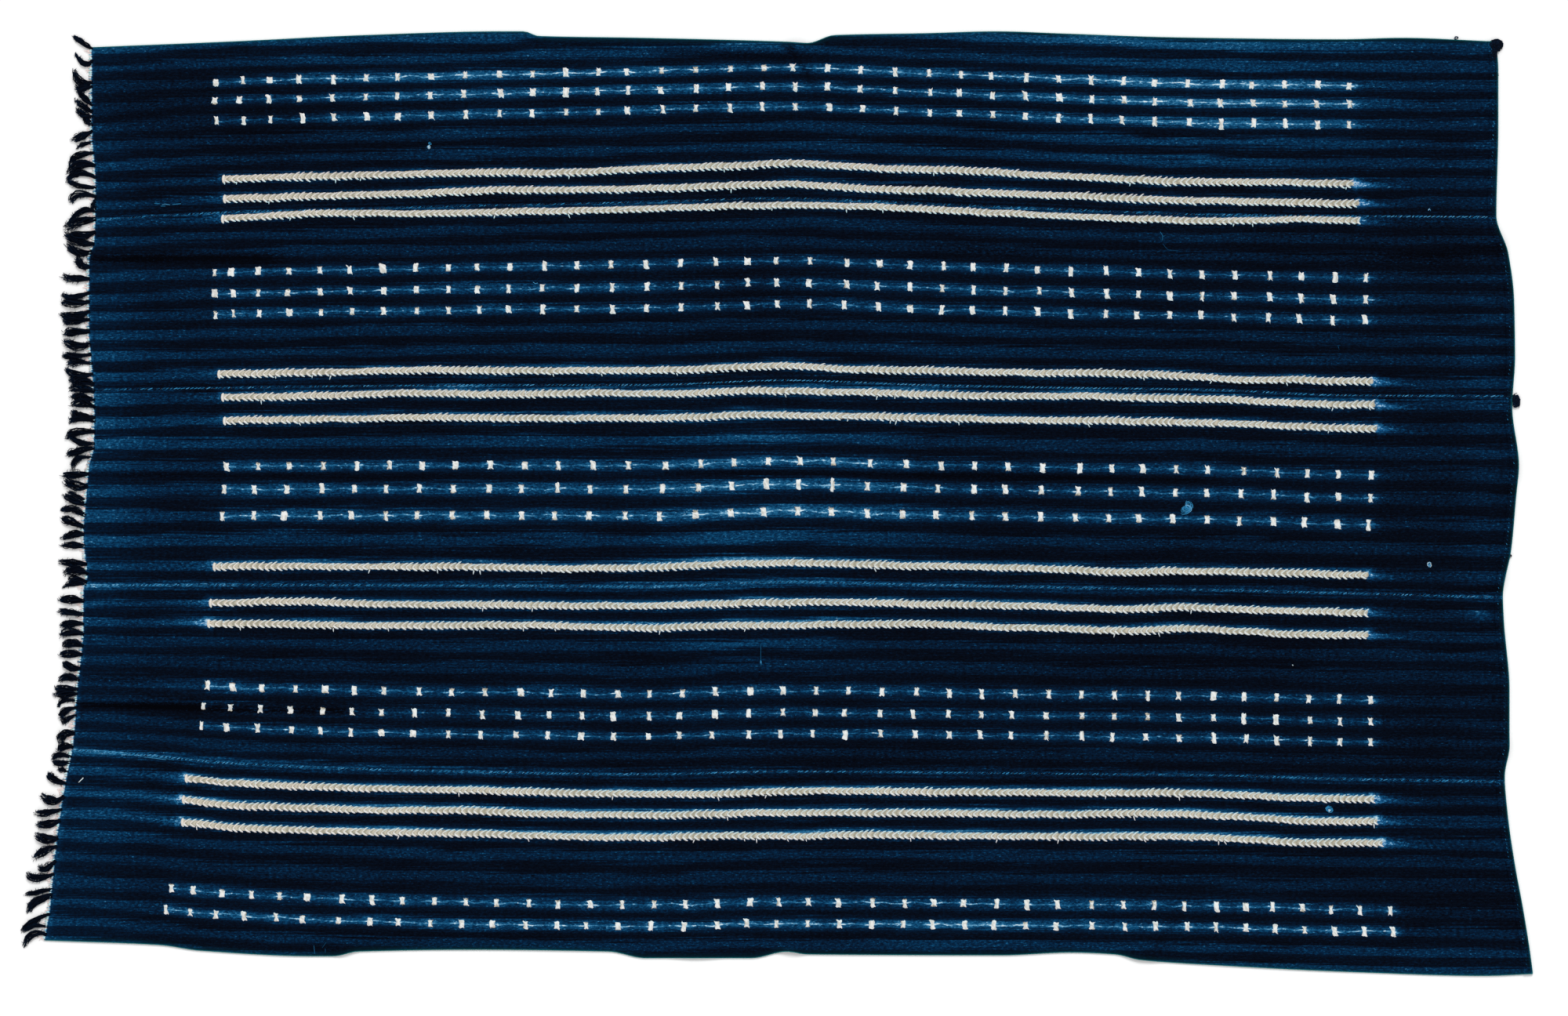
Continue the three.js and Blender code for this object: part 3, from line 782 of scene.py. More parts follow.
# How strong the stripes are, and how pale their dark ground is, along the cloth. Columns: x, value.
contrast_along = [(60, 1.12), (110, 1.05), (200, 1.0), (850, 0.98), (1300, 0.95), (1500, 0.84)]
ground_along = [
    (60, 0.178), (95, 0.165), (135, 0.124), (300, 0.1), (450, 0.104), (1300, 0.096), (1553, 0.1),
]
chance_of = np.random.default_rng(41)


def dot_places(strip_name):
    """Where a strip's tied dots are: its rows keep step, and each is a little out by hand."""
    spots = np.array(dot_spots[strip_name], float)
    shared = (spots - spots[0]) / (spots[-1] - spots[0])
    rows = []
    for share, first, last, blue in strips[strip_name]["dots"]:
        x = first + (last - first) * shared
        x[1:-1] += chance_of.uniform(-1.6, 1.6, len(x) - 2)
        rows.append((share, x, blue))
    return rows


dots_of = {strip_name: dot_places(strip_name) for strip_name in strips}


def strip_shares(strip):
    """Even shares of a strip's width, with some moved to where a line or a row of dots needs them."""
    half_share = line_half_width / usual_width
    wanted = [line[0] + off for line in strip["lines"] for off in (-half_share, 0, half_share)]
    wanted += [share for share, _, _, _ in strip["dots"]]
    width = float(np.diff(evenly(strip, half_way_x)).item())
    shares = np.linspace(0, 1, int(width / row_step) + 1)
    for share in wanted:
        if 0.004 < share < 0.996:
            shares[1 + np.argmin(np.abs(shares[1:-1] - share))] = share
    return np.sort(shares)


def top_of(strip_name, x, y):
    """Height of the cloth's upper face at a place, in millimetres."""
    strip = strips[strip_name]
    height = lift(x, y) + ripple(x, y) + cloth_thickness
    for line_share, start, end, _, _ in strip["lines"]:
        off = np.abs(y - pattern_row(strip, x, line_share)) / (line_half_width + 1.5)
        along = np.clip(np.minimum(x - start, end - x) / 4, 0, 1)
        height = height + np.where(off < 1, welt_height * (1 - off * off) * along, 0)
    if strip_name == "panel_1":
        roll = rolled_selvedge
        along = np.clip(np.minimum(x - roll["from"], roll["to"] - x) / 12, 0, 1)
        depth = np.clip((y - follow(courses["top"], x)) / roll["width"], 0, 1)
        round_over = np.sqrt(np.maximum(0, 1 - (2 * depth - 1) ** 2))
        height = height + roll["height"] * along * np.where(depth < 1, round_over, 0)
    return height


def flare_at(strip_name, x, y):
    """The feathered blue that the dye leaves past the ends of each bare line and of each row of dots."""
    strip = strips[strip_name]
    total = np.zeros(x.shape)
    for share, start, end, before, after in strip["lines"]:
        off = y - pattern_row(strip, x, share)
        for past, gain, drop in ((x - end, after, 0.08), (start + line_lead - x, before, 0)):
            away = np.maximum(past, 0) / 36
            narrow = 5.2 * (0.25 + 0.75 * np.exp(-away * 1.4))
            tail = (off - drop * np.maximum(past, 0)) / narrow
            total += np.where(past > -4, gain * np.exp(-away * 1.4 - tail**2), 0)
    for share, dots, _ in dots_of[strip_name]:
        off = y - pattern_row(strip, x, share) - 0.8
        past = x - dots[-1]
        total += np.where(past > 0, 0.5 * np.exp(-past / 17) * np.exp(-((off / 1.7) ** 2)), 0)
    return total


# Paler and deeper places on the cloth, with the painted shade and painted highlight along the folds.
def tone_and_painted_light_at(x, y):
    total = np.zeros(x.shape)
    for patch_x, patch_y, reach_x, reach_y, gain in dye_and_shade_patches:
        total += gain * np.exp(-(((x - patch_x) / reach_x) ** 2) - ((y - patch_y) / reach_y) ** 2)
    for x1, y1, x2, y2, wide, gain in painted_fold_shading:
        length = math.hypot(x2 - x1, y2 - y1)
        way = ((x - x1) * (x2 - x1) + (y - y1) * (y2 - y1)) / length
        side = ((x - x1) * (y2 - y1) - (y - y1) * (x2 - x1)) / length
        past = np.maximum(0, np.maximum(-way, way - length)) / 30
        total += gain * np.exp(-((side / wide) ** 2) - past**2)
    return total


def closed_faces(rows, columns):
    """The faces of two stacked grids of rows by columns, joined all round their rim."""
    index = np.arange(rows * columns).reshape(rows, columns)
    upper = np.stack([index[:-1, :-1], index[1:, :-1], index[1:, 1:], index[:-1, 1:]], axis=-1)
    upper = upper.reshape(-1, 4)
    lower = upper[:, ::-1] + rows * columns
    rim = np.concatenate([index[0, ::-1], index[1:, 0], index[-1, 1:], index[-2::-1, -1]])
    following = np.roll(rim, -1)
    side = np.stack([rim, rim + rows * columns, following + rows * columns, following], axis=-1)
    return np.concatenate([upper, lower, side[rim != following]]).tolist()


def lay_columns(strip, shares):
    """The x of a strip's left end, of its right end, and of every point of its grid."""
    fixed = np.arange(fixed_span[0], fixed_span[1] + 0.1, column_step)
    left_x = follow(left_end, across(strip, np.float64(fixed_span[0]), shares)) + edge_lap
    right_x = follow(right_end, across(strip, np.float64(fixed_span[1]), shares))
    stop = right_x - hem_columns[-1]
    steps_in = np.linspace(0, 1, end_columns)[None, :]
    columns = [
        left_x + (fixed_span[0] - left_x) * steps_in[:, :-1],
        np.broadcast_to(fixed, (len(shares), len(fixed))),
        fixed[-1] + (stop - fixed[-1]) * steps_in[:, 1:-1],
        right_x - np.array(hem_columns[::-1])[None, :],
    ]
    return left_x, right_x, np.concatenate(columns, axis=1)


def count_dots(strip_name, x, stripe_count, known):
    """How many dots of its row have passed at each point, and how blue the dye is round them."""
    counted = np.full(x.shape, 0.5)
    tied_there = np.zeros(x.shape)
    for share, dots, blue in dots_of[strip_name]:
        in_row = np.abs(stripe_count - np.interp(share, *known)) < 0.5
        spots = np.concatenate([[dots[0] - 17, dots[0] - 16], dots, [dots[-1] + 16, dots[-1] + 17]])
        numbers = np.concatenate([[-0.5, -0.46], np.arange(len(dots)), [len(dots) - 0.54, len(dots) - 0.5]])
        counted = np.where(in_row, np.interp(x, spots, numbers), counted)
        reach_in = np.clip(np.minimum((x - dots[0] + 5) / 7, (dots[-1] + 14 - x) / 12), 0, 1)
        tied_there = np.where(in_row, reach_in * blue, tied_there)
    return counted, tied_there


def line_distance(strip, x, y):
    """How far each point is from the nearest bare line, less than nothing inside it."""
    away = np.full(x.shape, 60.0)
    for share, start, end, _, _ in strip["lines"]:
        off = np.abs(y + line_rise - pattern_row(strip, x, share)) - line_half_width
        away = np.minimum(away, np.maximum(off, np.maximum(start + line_lead - x, x - end)))
    return away


def edge_distances(strip_name, y, from_end):
    """How far each point is from the nearest seam, and from the cloth's own rim."""
    seam_far, rim_far = np.full(y.shape, 30.0), np.minimum(from_end, 30.0)
    for outer_strip, far in (("panel_1", y - y[:1]), ("panel_5", y[-1:] - y)):
        if strip_name == outer_strip:
            rim_far = np.minimum(rim_far, far)
        else:
            seam_far = np.minimum(seam_far, far)
    return seam_far, rim_far


def make_cloth(strip_name, strip):
    shares = strip_shares(strip)[:, None]
    left_x, right_x, x = lay_columns(strip, shares)
    y = across(strip, x, shares)
    high, low = evenly(strip, x)
    known = tuple(zip(*strip["stripes"]))
    stripe_count = np.maximum(np.interp((y - sway(x, y) - high) / (low - high), *known), -0.5)
    counted, tied_there = count_dots(strip_name, x, stripe_count, known)
    from_end = right_x - x
    hem = np.clip((hem_width - from_end) / 0.5, 0, 1) * np.clip((from_end + 0.35) / 0.9, 0.45, 1)
    rim_soft = np.clip(np.minimum(x - left_x, from_end) / 1.2, 0, 1)
    upper_z = top_of(strip_name, x, y) + hem_rise * hem - rim_drop * (1 - rim_soft)
    points = np.concatenate([place(x, y, upper_z), place(x, y, lift(x, y))])
    left_worn = 0.16 * np.exp(-(((x - left_x) / 2.2) ** 2))
    seam_far, rim_far = edge_distances(strip_name, y, from_end)
    stripe_gain = np.interp(np.round(stripe_count), *zip(*stripe_gains))
    values = {
        "stripe": stripe_count,
        "count": counted,
        "tied": tied_there,
        "band": line_distance(strip, x, y),
        "flare": flare_at(strip_name, x, y),
        "tone_and_painted_light": tone_and_painted_light_at(x, y),
        "contrast": np.interp(x, *zip(*contrast_along)) * stripe_gain,
        "deep": np.interp(x, *zip(*ground_along)) + 0.045 * np.exp(-((y / 46) ** 2)),
        "worn": left_worn + 0.05 * np.exp(-((from_end / 2.5) ** 2)),
        "seam": seam_far,
        "rim": rim_far,
    }
    values = {label: np.tile(numbers.ravel(), 2) for label, numbers in values.items()}
    return make_piece(strip_name + "_cloth", points, closed_faces(*x.shape), values, indigo_cloth)


for strip_name, strip in strips.items():
    panel = make_cloth(strip_name, strip)
    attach(panel, "root")
    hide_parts(strip_name)

# The bare lines, where the cloth was gathered on a stitch before dyeing. Undone, it keeps a plait of
# small raised arms that meet along the middle of the line and point to the left.
plait_pitch = 6.6
upper_arm = {"over": 7.6, "out": 4.9, "width": 1.0, "height": 0.95, "fresh": 0.1}
lower_arm = {"over": 5.4, "out": 3.3, "width": 1.2, "height": 0.85, "fresh": 0.55}
arm_steps = [(0, 0.95), (0.3, 1.0), (0.6, 0.85), (0.84, 0.6), (1, 0.2)]
line_set = {"panel_1": 0.85, "panel_2": 0.7, "panel_3": 0.6, "panel_4": 0.5, "panel_5": 0.5}
profile = [(1, 0), (0.72, 0.68), (0, 1), (-0.72, 0.68), (-1, 0)]
cap_bend = [(1.3, -4.4), (0.5, -2.9), (0.2, 0), (0.5, 2.9), (1.5, 4.6)]
stray_share = 0.07
# Where a line is drawn in or stands out. Columns: strip, line, x, reach, change of its width.
pinches = [
    ("panel_1", 0, 266, 9, -0.3),
    ("panel_1", 0, 296, 8, 0.25),
    ("panel_2", 1, 350, 8, -0.35),
    ("panel_3", 1, 332, 7, -0.4),
    ("panel_3", 2, 371, 7, -0.35),
    ("panel_3", 2, 477, 9, -0.3),
    ("panel_3", 2, 1216, 10, 0.3),
    ("panel_1", 1, 1190, 12, 0.12),
    ("panel_5", 1, 340, 8, 0.2),
    ("panel_4", 0, 905, 9, 0.2),
    ("panel_3", 1, 879, 6, -0.5),
]

bare_labels = ("crest", "tip", "lower_side", "warm", "fresh")
bare_cotton, tree, bare_shader = start_finish("bare gathered cotton", 0.15)
bare_shader.inputs["Sheen Weight"].default_value = 0.1
weave = use_group(tree, plain_weave).outputs
crest, tip, lower_side, warm, fresh = read_values(tree, *bare_labels)
yarn_light = span(tree, weave["Yarn"], 0.3, 0.7)
plain = blend_colours(tree, yarn_light, (176, 182, 176), (207, 213, 207))
beige = blend_colours(tree, yarn_light, (202, 184, 165), (224, 209, 192))
cotton = blend_colours(tree, warm, plain, beige)
cotton = blend_colours(tree, fresh, cotton, (231, 233, 232))
tip_colour = blend_colours(tree, lower_side, (212, 200, 206), (160, 222, 236))
cotton = blend_colours(tree, span(tree, tip, 0.35, 0.9, 0, 0.85), cotton, tip_colour)
# Painted shade: darker bare cotton where the crest value is low, at the sides of each raised arm; random on
# the dots.
cotton = blend_colours(tree, span(tree, crest, 0.0, 0.75), (148, 146, 132), cotton)
end_finish(tree, bare_shader, cotton, weave["Yarn"], (0.75, 0.95), weave["Height"], 0.4, 0.0002)


def rim_side(down, y):
    """How far a rim faces the middle of the cloth: 1 if it does, 0 if it faces away."""
    return 0.5 + 0.5 * np.sign(down) * np.clip(1 - y / 500, -1, 1)


def new_parts(*labels):
    return {"points": [], "faces": [], "total": 0, "values": {label: [] for label in labels}}


def add_part(parts, points, faces, values):
    """Adds a small part to those that make up one piece, with its faces counted from its first point."""
    first = parts["total"]
    parts["points"].append(points)
    parts["faces"].extend([first + corner for corner in face] for face in faces)
    for label, numbers in values.items():
        parts["values"][label].append(numbers)
    parts["total"] += len(points)


def join_parts(name, parts, material, sharp=True):
    values = {label: np.concatenate(numbers) for label, numbers in parts["values"].items()}
    return make_piece(name, np.concatenate(parts["points"]), parts["faces"], values, material, sharp)


def add_bare(parts, grid, faces, values):
    """Adds a grid of points to a piece of bare cotton, with each value for all of it or point by point."""
    values = {label: np.broadcast_to(value, grid[0].shape).ravel() for label, value in values.items()}
    add_part(parts, place(*grid), faces.reshape(-1, 4).tolist(), values)


def add_ridge(parts, strip_name, path, widths, height, tips, side, fresh):
    """A rounded ridge along a path on the cloth, as five points across at each step."""
    path = np.array(path, float)
    widths = np.array(widths)[:, None]
    way = np.gradient(path, axis=0)
    way = way / np.linalg.norm(way, axis=1, keepdims=True)
    base = top_of(strip_name, path[:, 0], path[:, 1])
    outs, rises = np.array(profile).T
    x = path[:, :1] - way[:, 1:] * outs * widths
    y = path[:, 1:] + way[:, :1] * outs * widths
    z = base[:, None] - 0.12 + rises * (widths / widths.max() * height)
    index = np.arange(x.size).reshape(x.shape)
    faces = np.stack([index[:-1, :-1], index[:-1, 1:], index[1:, 1:], index[1:, :-1]], axis=-1)
    values = {
        "crest": rises,
        "tip": np.array(tips)[:, None],
        "lower_side": side,
        "warm": np.clip(1.05 - path[0, 0] / 620, 0, 0.85),
        "fresh": np.clip(fresh + chance_of.normal(0, 0.1), 0, 0.8),
    }
    add_bare(parts, (x, y, z), faces, values)


def arm_size(strip_name, number, apex_x):
    """How large the arms are at a place on a line, beside the usual size."""
    size = 0.87 if (strip_name, number) == ("panel_2", 0) else 0.97
    size += 0.09 * math.sin(apex_x / 37 + number) + chance_of.uniform(-0.08, 0.08)
    for pinch_strip, line, x, reach, change in pinches:
        if (pinch_strip, line) == (strip_name, number):
            size += change * math.exp(-(((apex_x - x) / reach) ** 2))
    return size


def make_lines(strip_name, strip):
    parts = new_parts(*bare_labels)
    for number, (share, start, end, _, _) in enumerate(strip["lines"]):
        first = start + line_lead + 1.5
        arms = int((end - 2 - first) / plait_pitch)
        for arm in range(arms + 1):
            apex_x = first + arm * plait_pitch + chance_of.uniform(-0.7, 0.7)
            middle = float(pattern_row(strip, apex_x, share)) + line_set[strip_name]
            middle += chance_of.uniform(-0.35, 0.35)
            size = arm_size(strip_name, number, apex_x)
            for kind, sign in ((upper_arm, -1), (lower_arm, 1)):
                over = min(kind["over"] * chance_of.uniform(0.85, 1.15), max(1.2, end + 1.5 - apex_x))
                out = kind["out"] * size * chance_of.uniform(0.88, 1.1)
                path = []
                for t, _ in arm_steps:
                    path.append((apex_x + over * t, middle + sign * out * (1 - (1 - t) ** 1.6)))
                widths = [kind["width"] * wide for _, wide in arm_steps]
                tips = [t for t, _ in arm_steps]
                side = rim_side(sign, middle)
                add_ridge(parts, strip_name, path, widths, kind["height"], tips, side, kind["fresh"])
            if chance_of.uniform(0, 1) < stray_share:
                sign = chance_of.choice((-0.7, 1))
                curl, reach = chance_of.uniform(-1.5, 2.5), chance_of.uniform(5, 7.2)
                path = [(apex_x + curl * t, middle + sign * (2.5 + (reach - 2.5) * t)) for t in (0, 0.5, 1)]
                side = rim_side(sign, middle)
                add_ridge(parts, strip_name, path, [0.8, 0.7, 0.3], 0.9, [0.5, 0.8, 1], side, 0.4)
        middle = float(pattern_row(strip, float(start), share))
        path = [(start + line_lead + dx, middle + dy) for dx, dy in cap_bend]
        widths, tips = [0.9, 1.5, 1.7, 1.5, 0.8], [0.6, 0.3, 0.1, 0.3, 0.7]
        add_ridge(parts, strip_name, path, widths, 0.8, tips, 0.6, 0.3)
    return join_parts(strip_name + "_lines", parts, bare_cotton)


trimmings = {strip_name: [] for strip_name in strips}
for strip_name, strip in strips.items():
    lines = make_lines(strip_name, strip)
    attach(lines, "root")
    trimmings[strip_name].append(lines)

# The tied dots, each a pinch of cloth that was bound with thread. The dye never reached it, and it
# still stands a little proud, narrow at the waist where the thread was, with a ragged rim.
dot_size = {"width": 5.8, "height": 8.7}
dot_rise = 0.5
# Columns: strip, row, first x, last x, scale of the dots between.
odd_dots = [
    ("panel_1", 0, 675, 765, 0.45), ("panel_1", 0, 765, 800, 0.7), ("panel_4", 1, 1085, 1140, 0.62),
    ("panel_4", 1, 1140, 1215, 0.5), ("panel_1", 1, 270, 330, 0.8), ("panel_4", 2, 400, 450, 0.8),
    ("panel_1", 2, 560, 640, 0.8), ("panel_3", 0, 220, 330, 0.8), ("panel_2", 2, 300, 380, 0.75),
    ("panel_3", 1, 858, 880, 1.5),
]
dot_rows = np.array([-1, -0.8, -0.45, 0, 0.45, 0.8, 1])
dot_columns = np.array([-1, -0.55, 0, 0.55, 1])


def make_dots(strip_name, strip):
    parts = new_parts(*bare_labels)
    down, right = np.meshgrid(dot_rows, dot_columns, indexing="ij")
    grid = np.arange(down.size).reshape(down.shape)
    quads = np.stack([grid[:-1, :-1], grid[1:, :-1], grid[1:, 1:], grid[:-1, 1:]], axis=-1)
    edge = np.maximum(np.abs(down), np.abs(right))
    rim = edge > 0.9
    for row, (share, dots, _) in enumerate(dots_of[strip_name]):
        for dot_x in dots:
            tall = chance_of.uniform(0.8, 1.2)
            wide = chance_of.uniform(0.78, 1.2)
            for odd_strip, odd_row, first, last, scale in odd_dots:
                if (odd_strip, odd_row) == (strip_name, row) and first < dot_x < last:
                    tall *= scale
                    wide *= 0.9
            lean = chance_of.uniform(-0.16, 0.16)
            tall *= 1 + 0.12 * np.clip((dot_x - 400) / 900, 0, 1)
            waist_in = np.where(right < 0, chance_of.uniform(-0.1, 0.75), chance_of.uniform(-0.1, 0.75))
            end_in = np.where(down < 0, chance_of.uniform(-0.1, 0.45), chance_of.uniform(-0.1, 0.45))
            y0 = float(pattern_row(strip, dot_x, share)) + chance_of.uniform(-0.7, 0.7)
            half_tall = dot_size["height"] / 2 * tall * (1 - end_in * (1 - np.abs(right) ** 1.5))
            half_wide = dot_size["width"] / 2 * wide * (1 - waist_in * (1 - np.abs(down) ** 1.5))
            ragged_x = chance_of.uniform(-0.5, 0.8, down.shape) * (np.abs(right) > 0.9)
            ragged_y = chance_of.uniform(-0.6, 1.0, down.shape) * (np.abs(down) > 0.9)
            y = y0 + down * half_tall + np.sign(down) * ragged_y
            x = dot_x + right * half_wide + np.sign(right) * ragged_x + lean * down * half_tall
            dome = dot_rise * (1 - edge**2) * chance_of.uniform(0.6, 1.2)
            z = top_of(strip_name, x, y) + np.where(rim, -0.05, dome + 0.1)
            values = {
                "crest": np.where(rim, 0.6, chance_of.uniform(0.3, 0.95, down.shape)),
                "tip": np.where(rim, 0.85, 0.2),
                "lower_side": rim_side(down, y0),
                "fresh": 0.77,
                "warm": np.clip(0.8 - dot_x / 900, 0.2, 0.6),
            }
            add_bare(parts, (x, y, z), quads, values)
    return join_parts(strip_name + "_dots", parts, bare_cotton)


for strip_name, strip in strips.items():
    dots = make_dots(strip_name, strip)
    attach(dots, "root")
    trimmings[strip_name].append(dots)

# The seams: the strips' selvedges meet edge to edge and are whipped together over and over with dyed
# cotton, which has worn pale here and there.
stitch_pitch = 4.4
stitch_size = {"reach": 0.9, "slant": 2.1, "radius": 0.45}
sewing_thread, tree, thread_shader = start_finish("dyed sewing cotton", 0.06)
weave = use_group(tree, plain_weave).outputs
thread_pale = read_values(tree, "pale")[0]
thread_pale = reckon(tree, "MULTIPLY_ADD", weave["Fleck"], 0.08, thread_pale, clamp=True)
thread_colour = use_group(tree, indigo_dye, Paleness=thread_pale).outputs["Color"]
thread_blue = times(tree, span(tree, thread_pale, 0.5, 0.72), span(tree, thread_pale, 0.95, 0.86), 0.6)
thread_colour = blend_colours(tree, thread_blue, thread_colour, (46, 146, 200))
end_finish(tree, thread_shader, thread_colour, weave["Yarn"], (0.75, 0.95), weave["Yarn"], 0.5, 0.0002)


def add_strand(parts, path, radii, pale, sides=4):
    """A closed strand of yarn along a path of millimetre points, with a radius and paleness at each."""
    path = np.array(path, float)
    way = np.gradient(path, axis=0)
    way = way / np.maximum(np.linalg.norm(way, axis=1, keepdims=True), 1e-9)
    sideways = np.cross(way, np.tile([0.0, 0.0, 1.0], (len(path), 1)))
    sideways = sideways / np.maximum(np.linalg.norm(sideways, axis=1, keepdims=True), 1e-9)
    upward = np.cross(sideways, way)
    angles = (np.arange(sides) * 2 * math.pi / sides)[None, :, None]
    ring = sideways[:, None, :] * np.cos(angles) + upward[:, None, :] * np.sin(angles)
    spots = (path[:, None, :] + ring * np.array(radii, float)[:, None, None]).reshape(-1, 3)
    index = np.arange(len(spots)).reshape(len(path), sides)
    nexts = np.roll(index, -1, axis=1)
    faces = np.stack([index[:-1], nexts[:-1], nexts[1:], index[1:]], axis=-1).reshape(-1, 4).tolist()
    faces += [index[0, ::-1].tolist(), index[-1].tolist()]
    pales = np.repeat(np.broadcast_to(pale, len(path)), sides)
    add_part(parts, place(*spots.T), faces, {"pale": pales})


def on_top(strip_name, x, y, rise):
    """A point that stands a little above the cloth's upper face."""
    return x, y, float(top_of(strip_name, x, y)) + rise


# Where the seams show pale. Columns: seam, x from, x to, paleness.
pale_stretches = [
    ("seam_1", 72, 330, 0.6),
    ("seam_1", 330, 1250, 0.5),
    ("seam_1", 1250, 1470, 0.62),
    ("seam_1", 1470, 1578, 0.8),
    ("seam_2", 66, 300, 0.58),
    ("seam_2", 300, 640, 0.62),
    ("seam_2", 640, 1250, 0.7),
    ("seam_2", 1250, 1600, 0.62),
    ("seam_3", 60, 180, 0.72),
    ("seam_3", 180, 640, 0.62),
    ("seam_3", 640, 1100, 0.66),
    ("seam_3", 1100, 1586, 0.6),
    ("seam_4", 48, 230, 0.76),
    ("seam_4", 230, 1000, 0.62),
    ("seam_4", 1000, 1588, 0.56),
]
for strip_name, strip in strips.items():
    seam = strip["courses"][1]
    if seam == "bottom":
        continue
    parts = new_parts("pale")
    first = float(follow(left_end, follow(courses[seam], 80.0))) + 5
    last = float(follow(right_end, follow(courses[seam], 1570.0))) - 1.5
    for x in np.arange(first, last, stitch_pitch):
        x = x + chance_of.uniform(-0.8, 0.8)
        y = float(follow(courses[seam], x))
        pale = max([p for s, start, end, p in pale_stretches if s == seam and start <= x <= end] or [0.4])
        pale = np.clip(pale + chance_of.normal(0, 0.12), 0.1, 0.82)
        reach = stitch_size["reach"] * chance_of.uniform(0.6, 1.1)
        slant = stitch_size["slant"] * chance_of.uniform(0.5, 1.3)
        path = []
        for t in (-1, -0.55, 0, 0.55, 1):
            rise = 0.35 * (1 - t * t) - 0.25 * abs(t) ** 3
            path.append(on_top(strip_name, x + slant * t, y - reach * t, rise))
        radius = stitch_size["radius"] * chance_of.uniform(0.75, 1.15)
        add_strand(parts, path, [radius * r for r in (0.55, 1, 1, 1, 0.55)], pale)
    stitches = join_parts(seam + "_stitches", parts, sewing_thread, sharp=False)
    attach(stitches, "root")
    trimmings[strip_name].append(stitches)

# The hem at the right is turned under once and felled by hand: small dark stitches hold it near its
# fold, and paler ones show further in.
hem_rows = [
    {"pitch": 3.1, "inset": 3.1, "lean": 0.3, "length": 1.6, "radius": 0.5, "pale": 0.03, "spread": 0.02},
    {"pitch": 4.6, "inset": 5.8, "lean": 0.5, "length": 1.5, "radius": 0.34, "pale": 0.48, "spread": 0.12},
]


def strip_edges(strip_name, x, at_top, at_bottom):
    """The y of a strip's two edges near one end. At an outer selvedge: where along it, and how far in."""
    high, low = evenly(strips[strip_name], x)
    if strip_name == "panel_1":
        high = follow(courses["top"], at_top[0]) + at_top[1]
    if strip_name == "panel_5":
        low = follow(courses["bottom"], at_bottom[0]) - at_bottom[1]
    return float(high), float(low)


for strip_name in strips:
    parts = new_parts("pale")
    high, low = strip_edges(strip_name, 1580.0, (1579.0, 1), (1610.0, 2))
    for hem_row in hem_rows:
        for y in np.arange(high + 2.5, low - 2, hem_row["pitch"]):
            y = y + chance_of.uniform(-0.5, 0.5)
            x = float(follow(right_end, y)) - hem_row["inset"] + chance_of.uniform(-0.4, 0.4)
            pale = np.clip(hem_row["pale"] + chance_of.normal(0, hem_row["spread"]), 0, 0.75)
            path = []
            for t in (-1, 0, 1):
                rise = hem_rise + 0.1 + 0.15 * (1 - abs(t))
                spot_x, spot_y = x + hem_row["lean"] * t, y + hem_row["length"] / 2 * t
                path.append(on_top(strip_name, spot_x, spot_y, rise))
            add_strand(parts, path, [hem_row["radius"] * r for r in (0.6, 1, 0.6)], pale)
    stitches = join_parts(strip_name + "_hem_stitches", parts, sewing_thread, sharp=False)
    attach(stitches, "root")
    trimmings[strip_name].append(stitches)

# Small marks of wear, sewn or caught in the cloth: a darn, pale flecks, loose threads, and the knots
# where the sewing ends at the right.
# Columns: strip, radius, paleness, its course in the photograph's pixels.
loose_threads = [
    ("panel_2", 0.3, 0.6, [(1480, 296), (1483, 301), (1482.5, 307)]),
    ("panel_2", 0.25, 0.5, [(1487, 300), (1483, 302), (1479, 304)]),
    ("panel_2", 0.3, 0.5, [(1483, 311), (1487, 316), (1490, 319), (1503, 320)]),
    ("panel_5", 0.5, 1.0, [(100.5, 998), (103.5, 995), (106.5, 992)]),
    ("panel_4", 0.26, 0.55, [(970.5, 822), (970.3, 835), (970.6, 850)]),
    ("panel_5", 0.26, 0.58, [(400.5, 1206), (401, 1212), (402, 1217)]),
    ("panel_5", 0.26, 0.52, [(415, 1210), (415, 1216)]),
    ("panel_5", 0.22, 0.52, [(411, 1209), (416, 1202)]),
    ("panel_1", 0.4, 0.1, [(1899, 57), (1903, 66), (1906, 78), (1910, 90), (1911, 97)]),
    ("panel_2", 0.25, 0.5, [(1706, 440), (1708, 446)]),
    ("panel_4", 0.27, 0.78, [(104, 956.5), (122, 957), (140, 958.5), (166, 961.5)]),
    ("panel_4", 0.2, 0.66, [(112, 958.5), (135, 959.5), (158, 961)]),
    ("panel_5", 0.2, 0.6, [(96, 960), (118, 961.5), (142, 963)]),
    ("panel_5", 0.26, 0.78, [(184, 965.5), (200, 967.5), (212, 969)]),
    ("panel_5", 0.2, 0.66, [(192, 965), (206, 966.5), (222, 969.5)]),
    ("panel_1", 0.28, 0.7, [(197, 259.5), (201, 260), (204, 260)]),
    ("panel_1", 0.3, 0.82, [(207, 261), (211, 260.5), (217, 261.5)]),
    ("panel_1", 0.28, 0.72, [(220, 261), (225, 260.5), (231, 260)]),
    ("panel_1", 0.24, 0.66, [(205, 263), (211, 263)]),
    ("panel_4", 0.45, 0.95, [(1648, 848), (1649.5, 849)]),
    ("panel_2", 0.35, 0.8, [(680, 360), (683, 362), (686, 361)]),
    ("panel_2", 0.35, 0.75, [(674, 366), (677, 368)]),
]
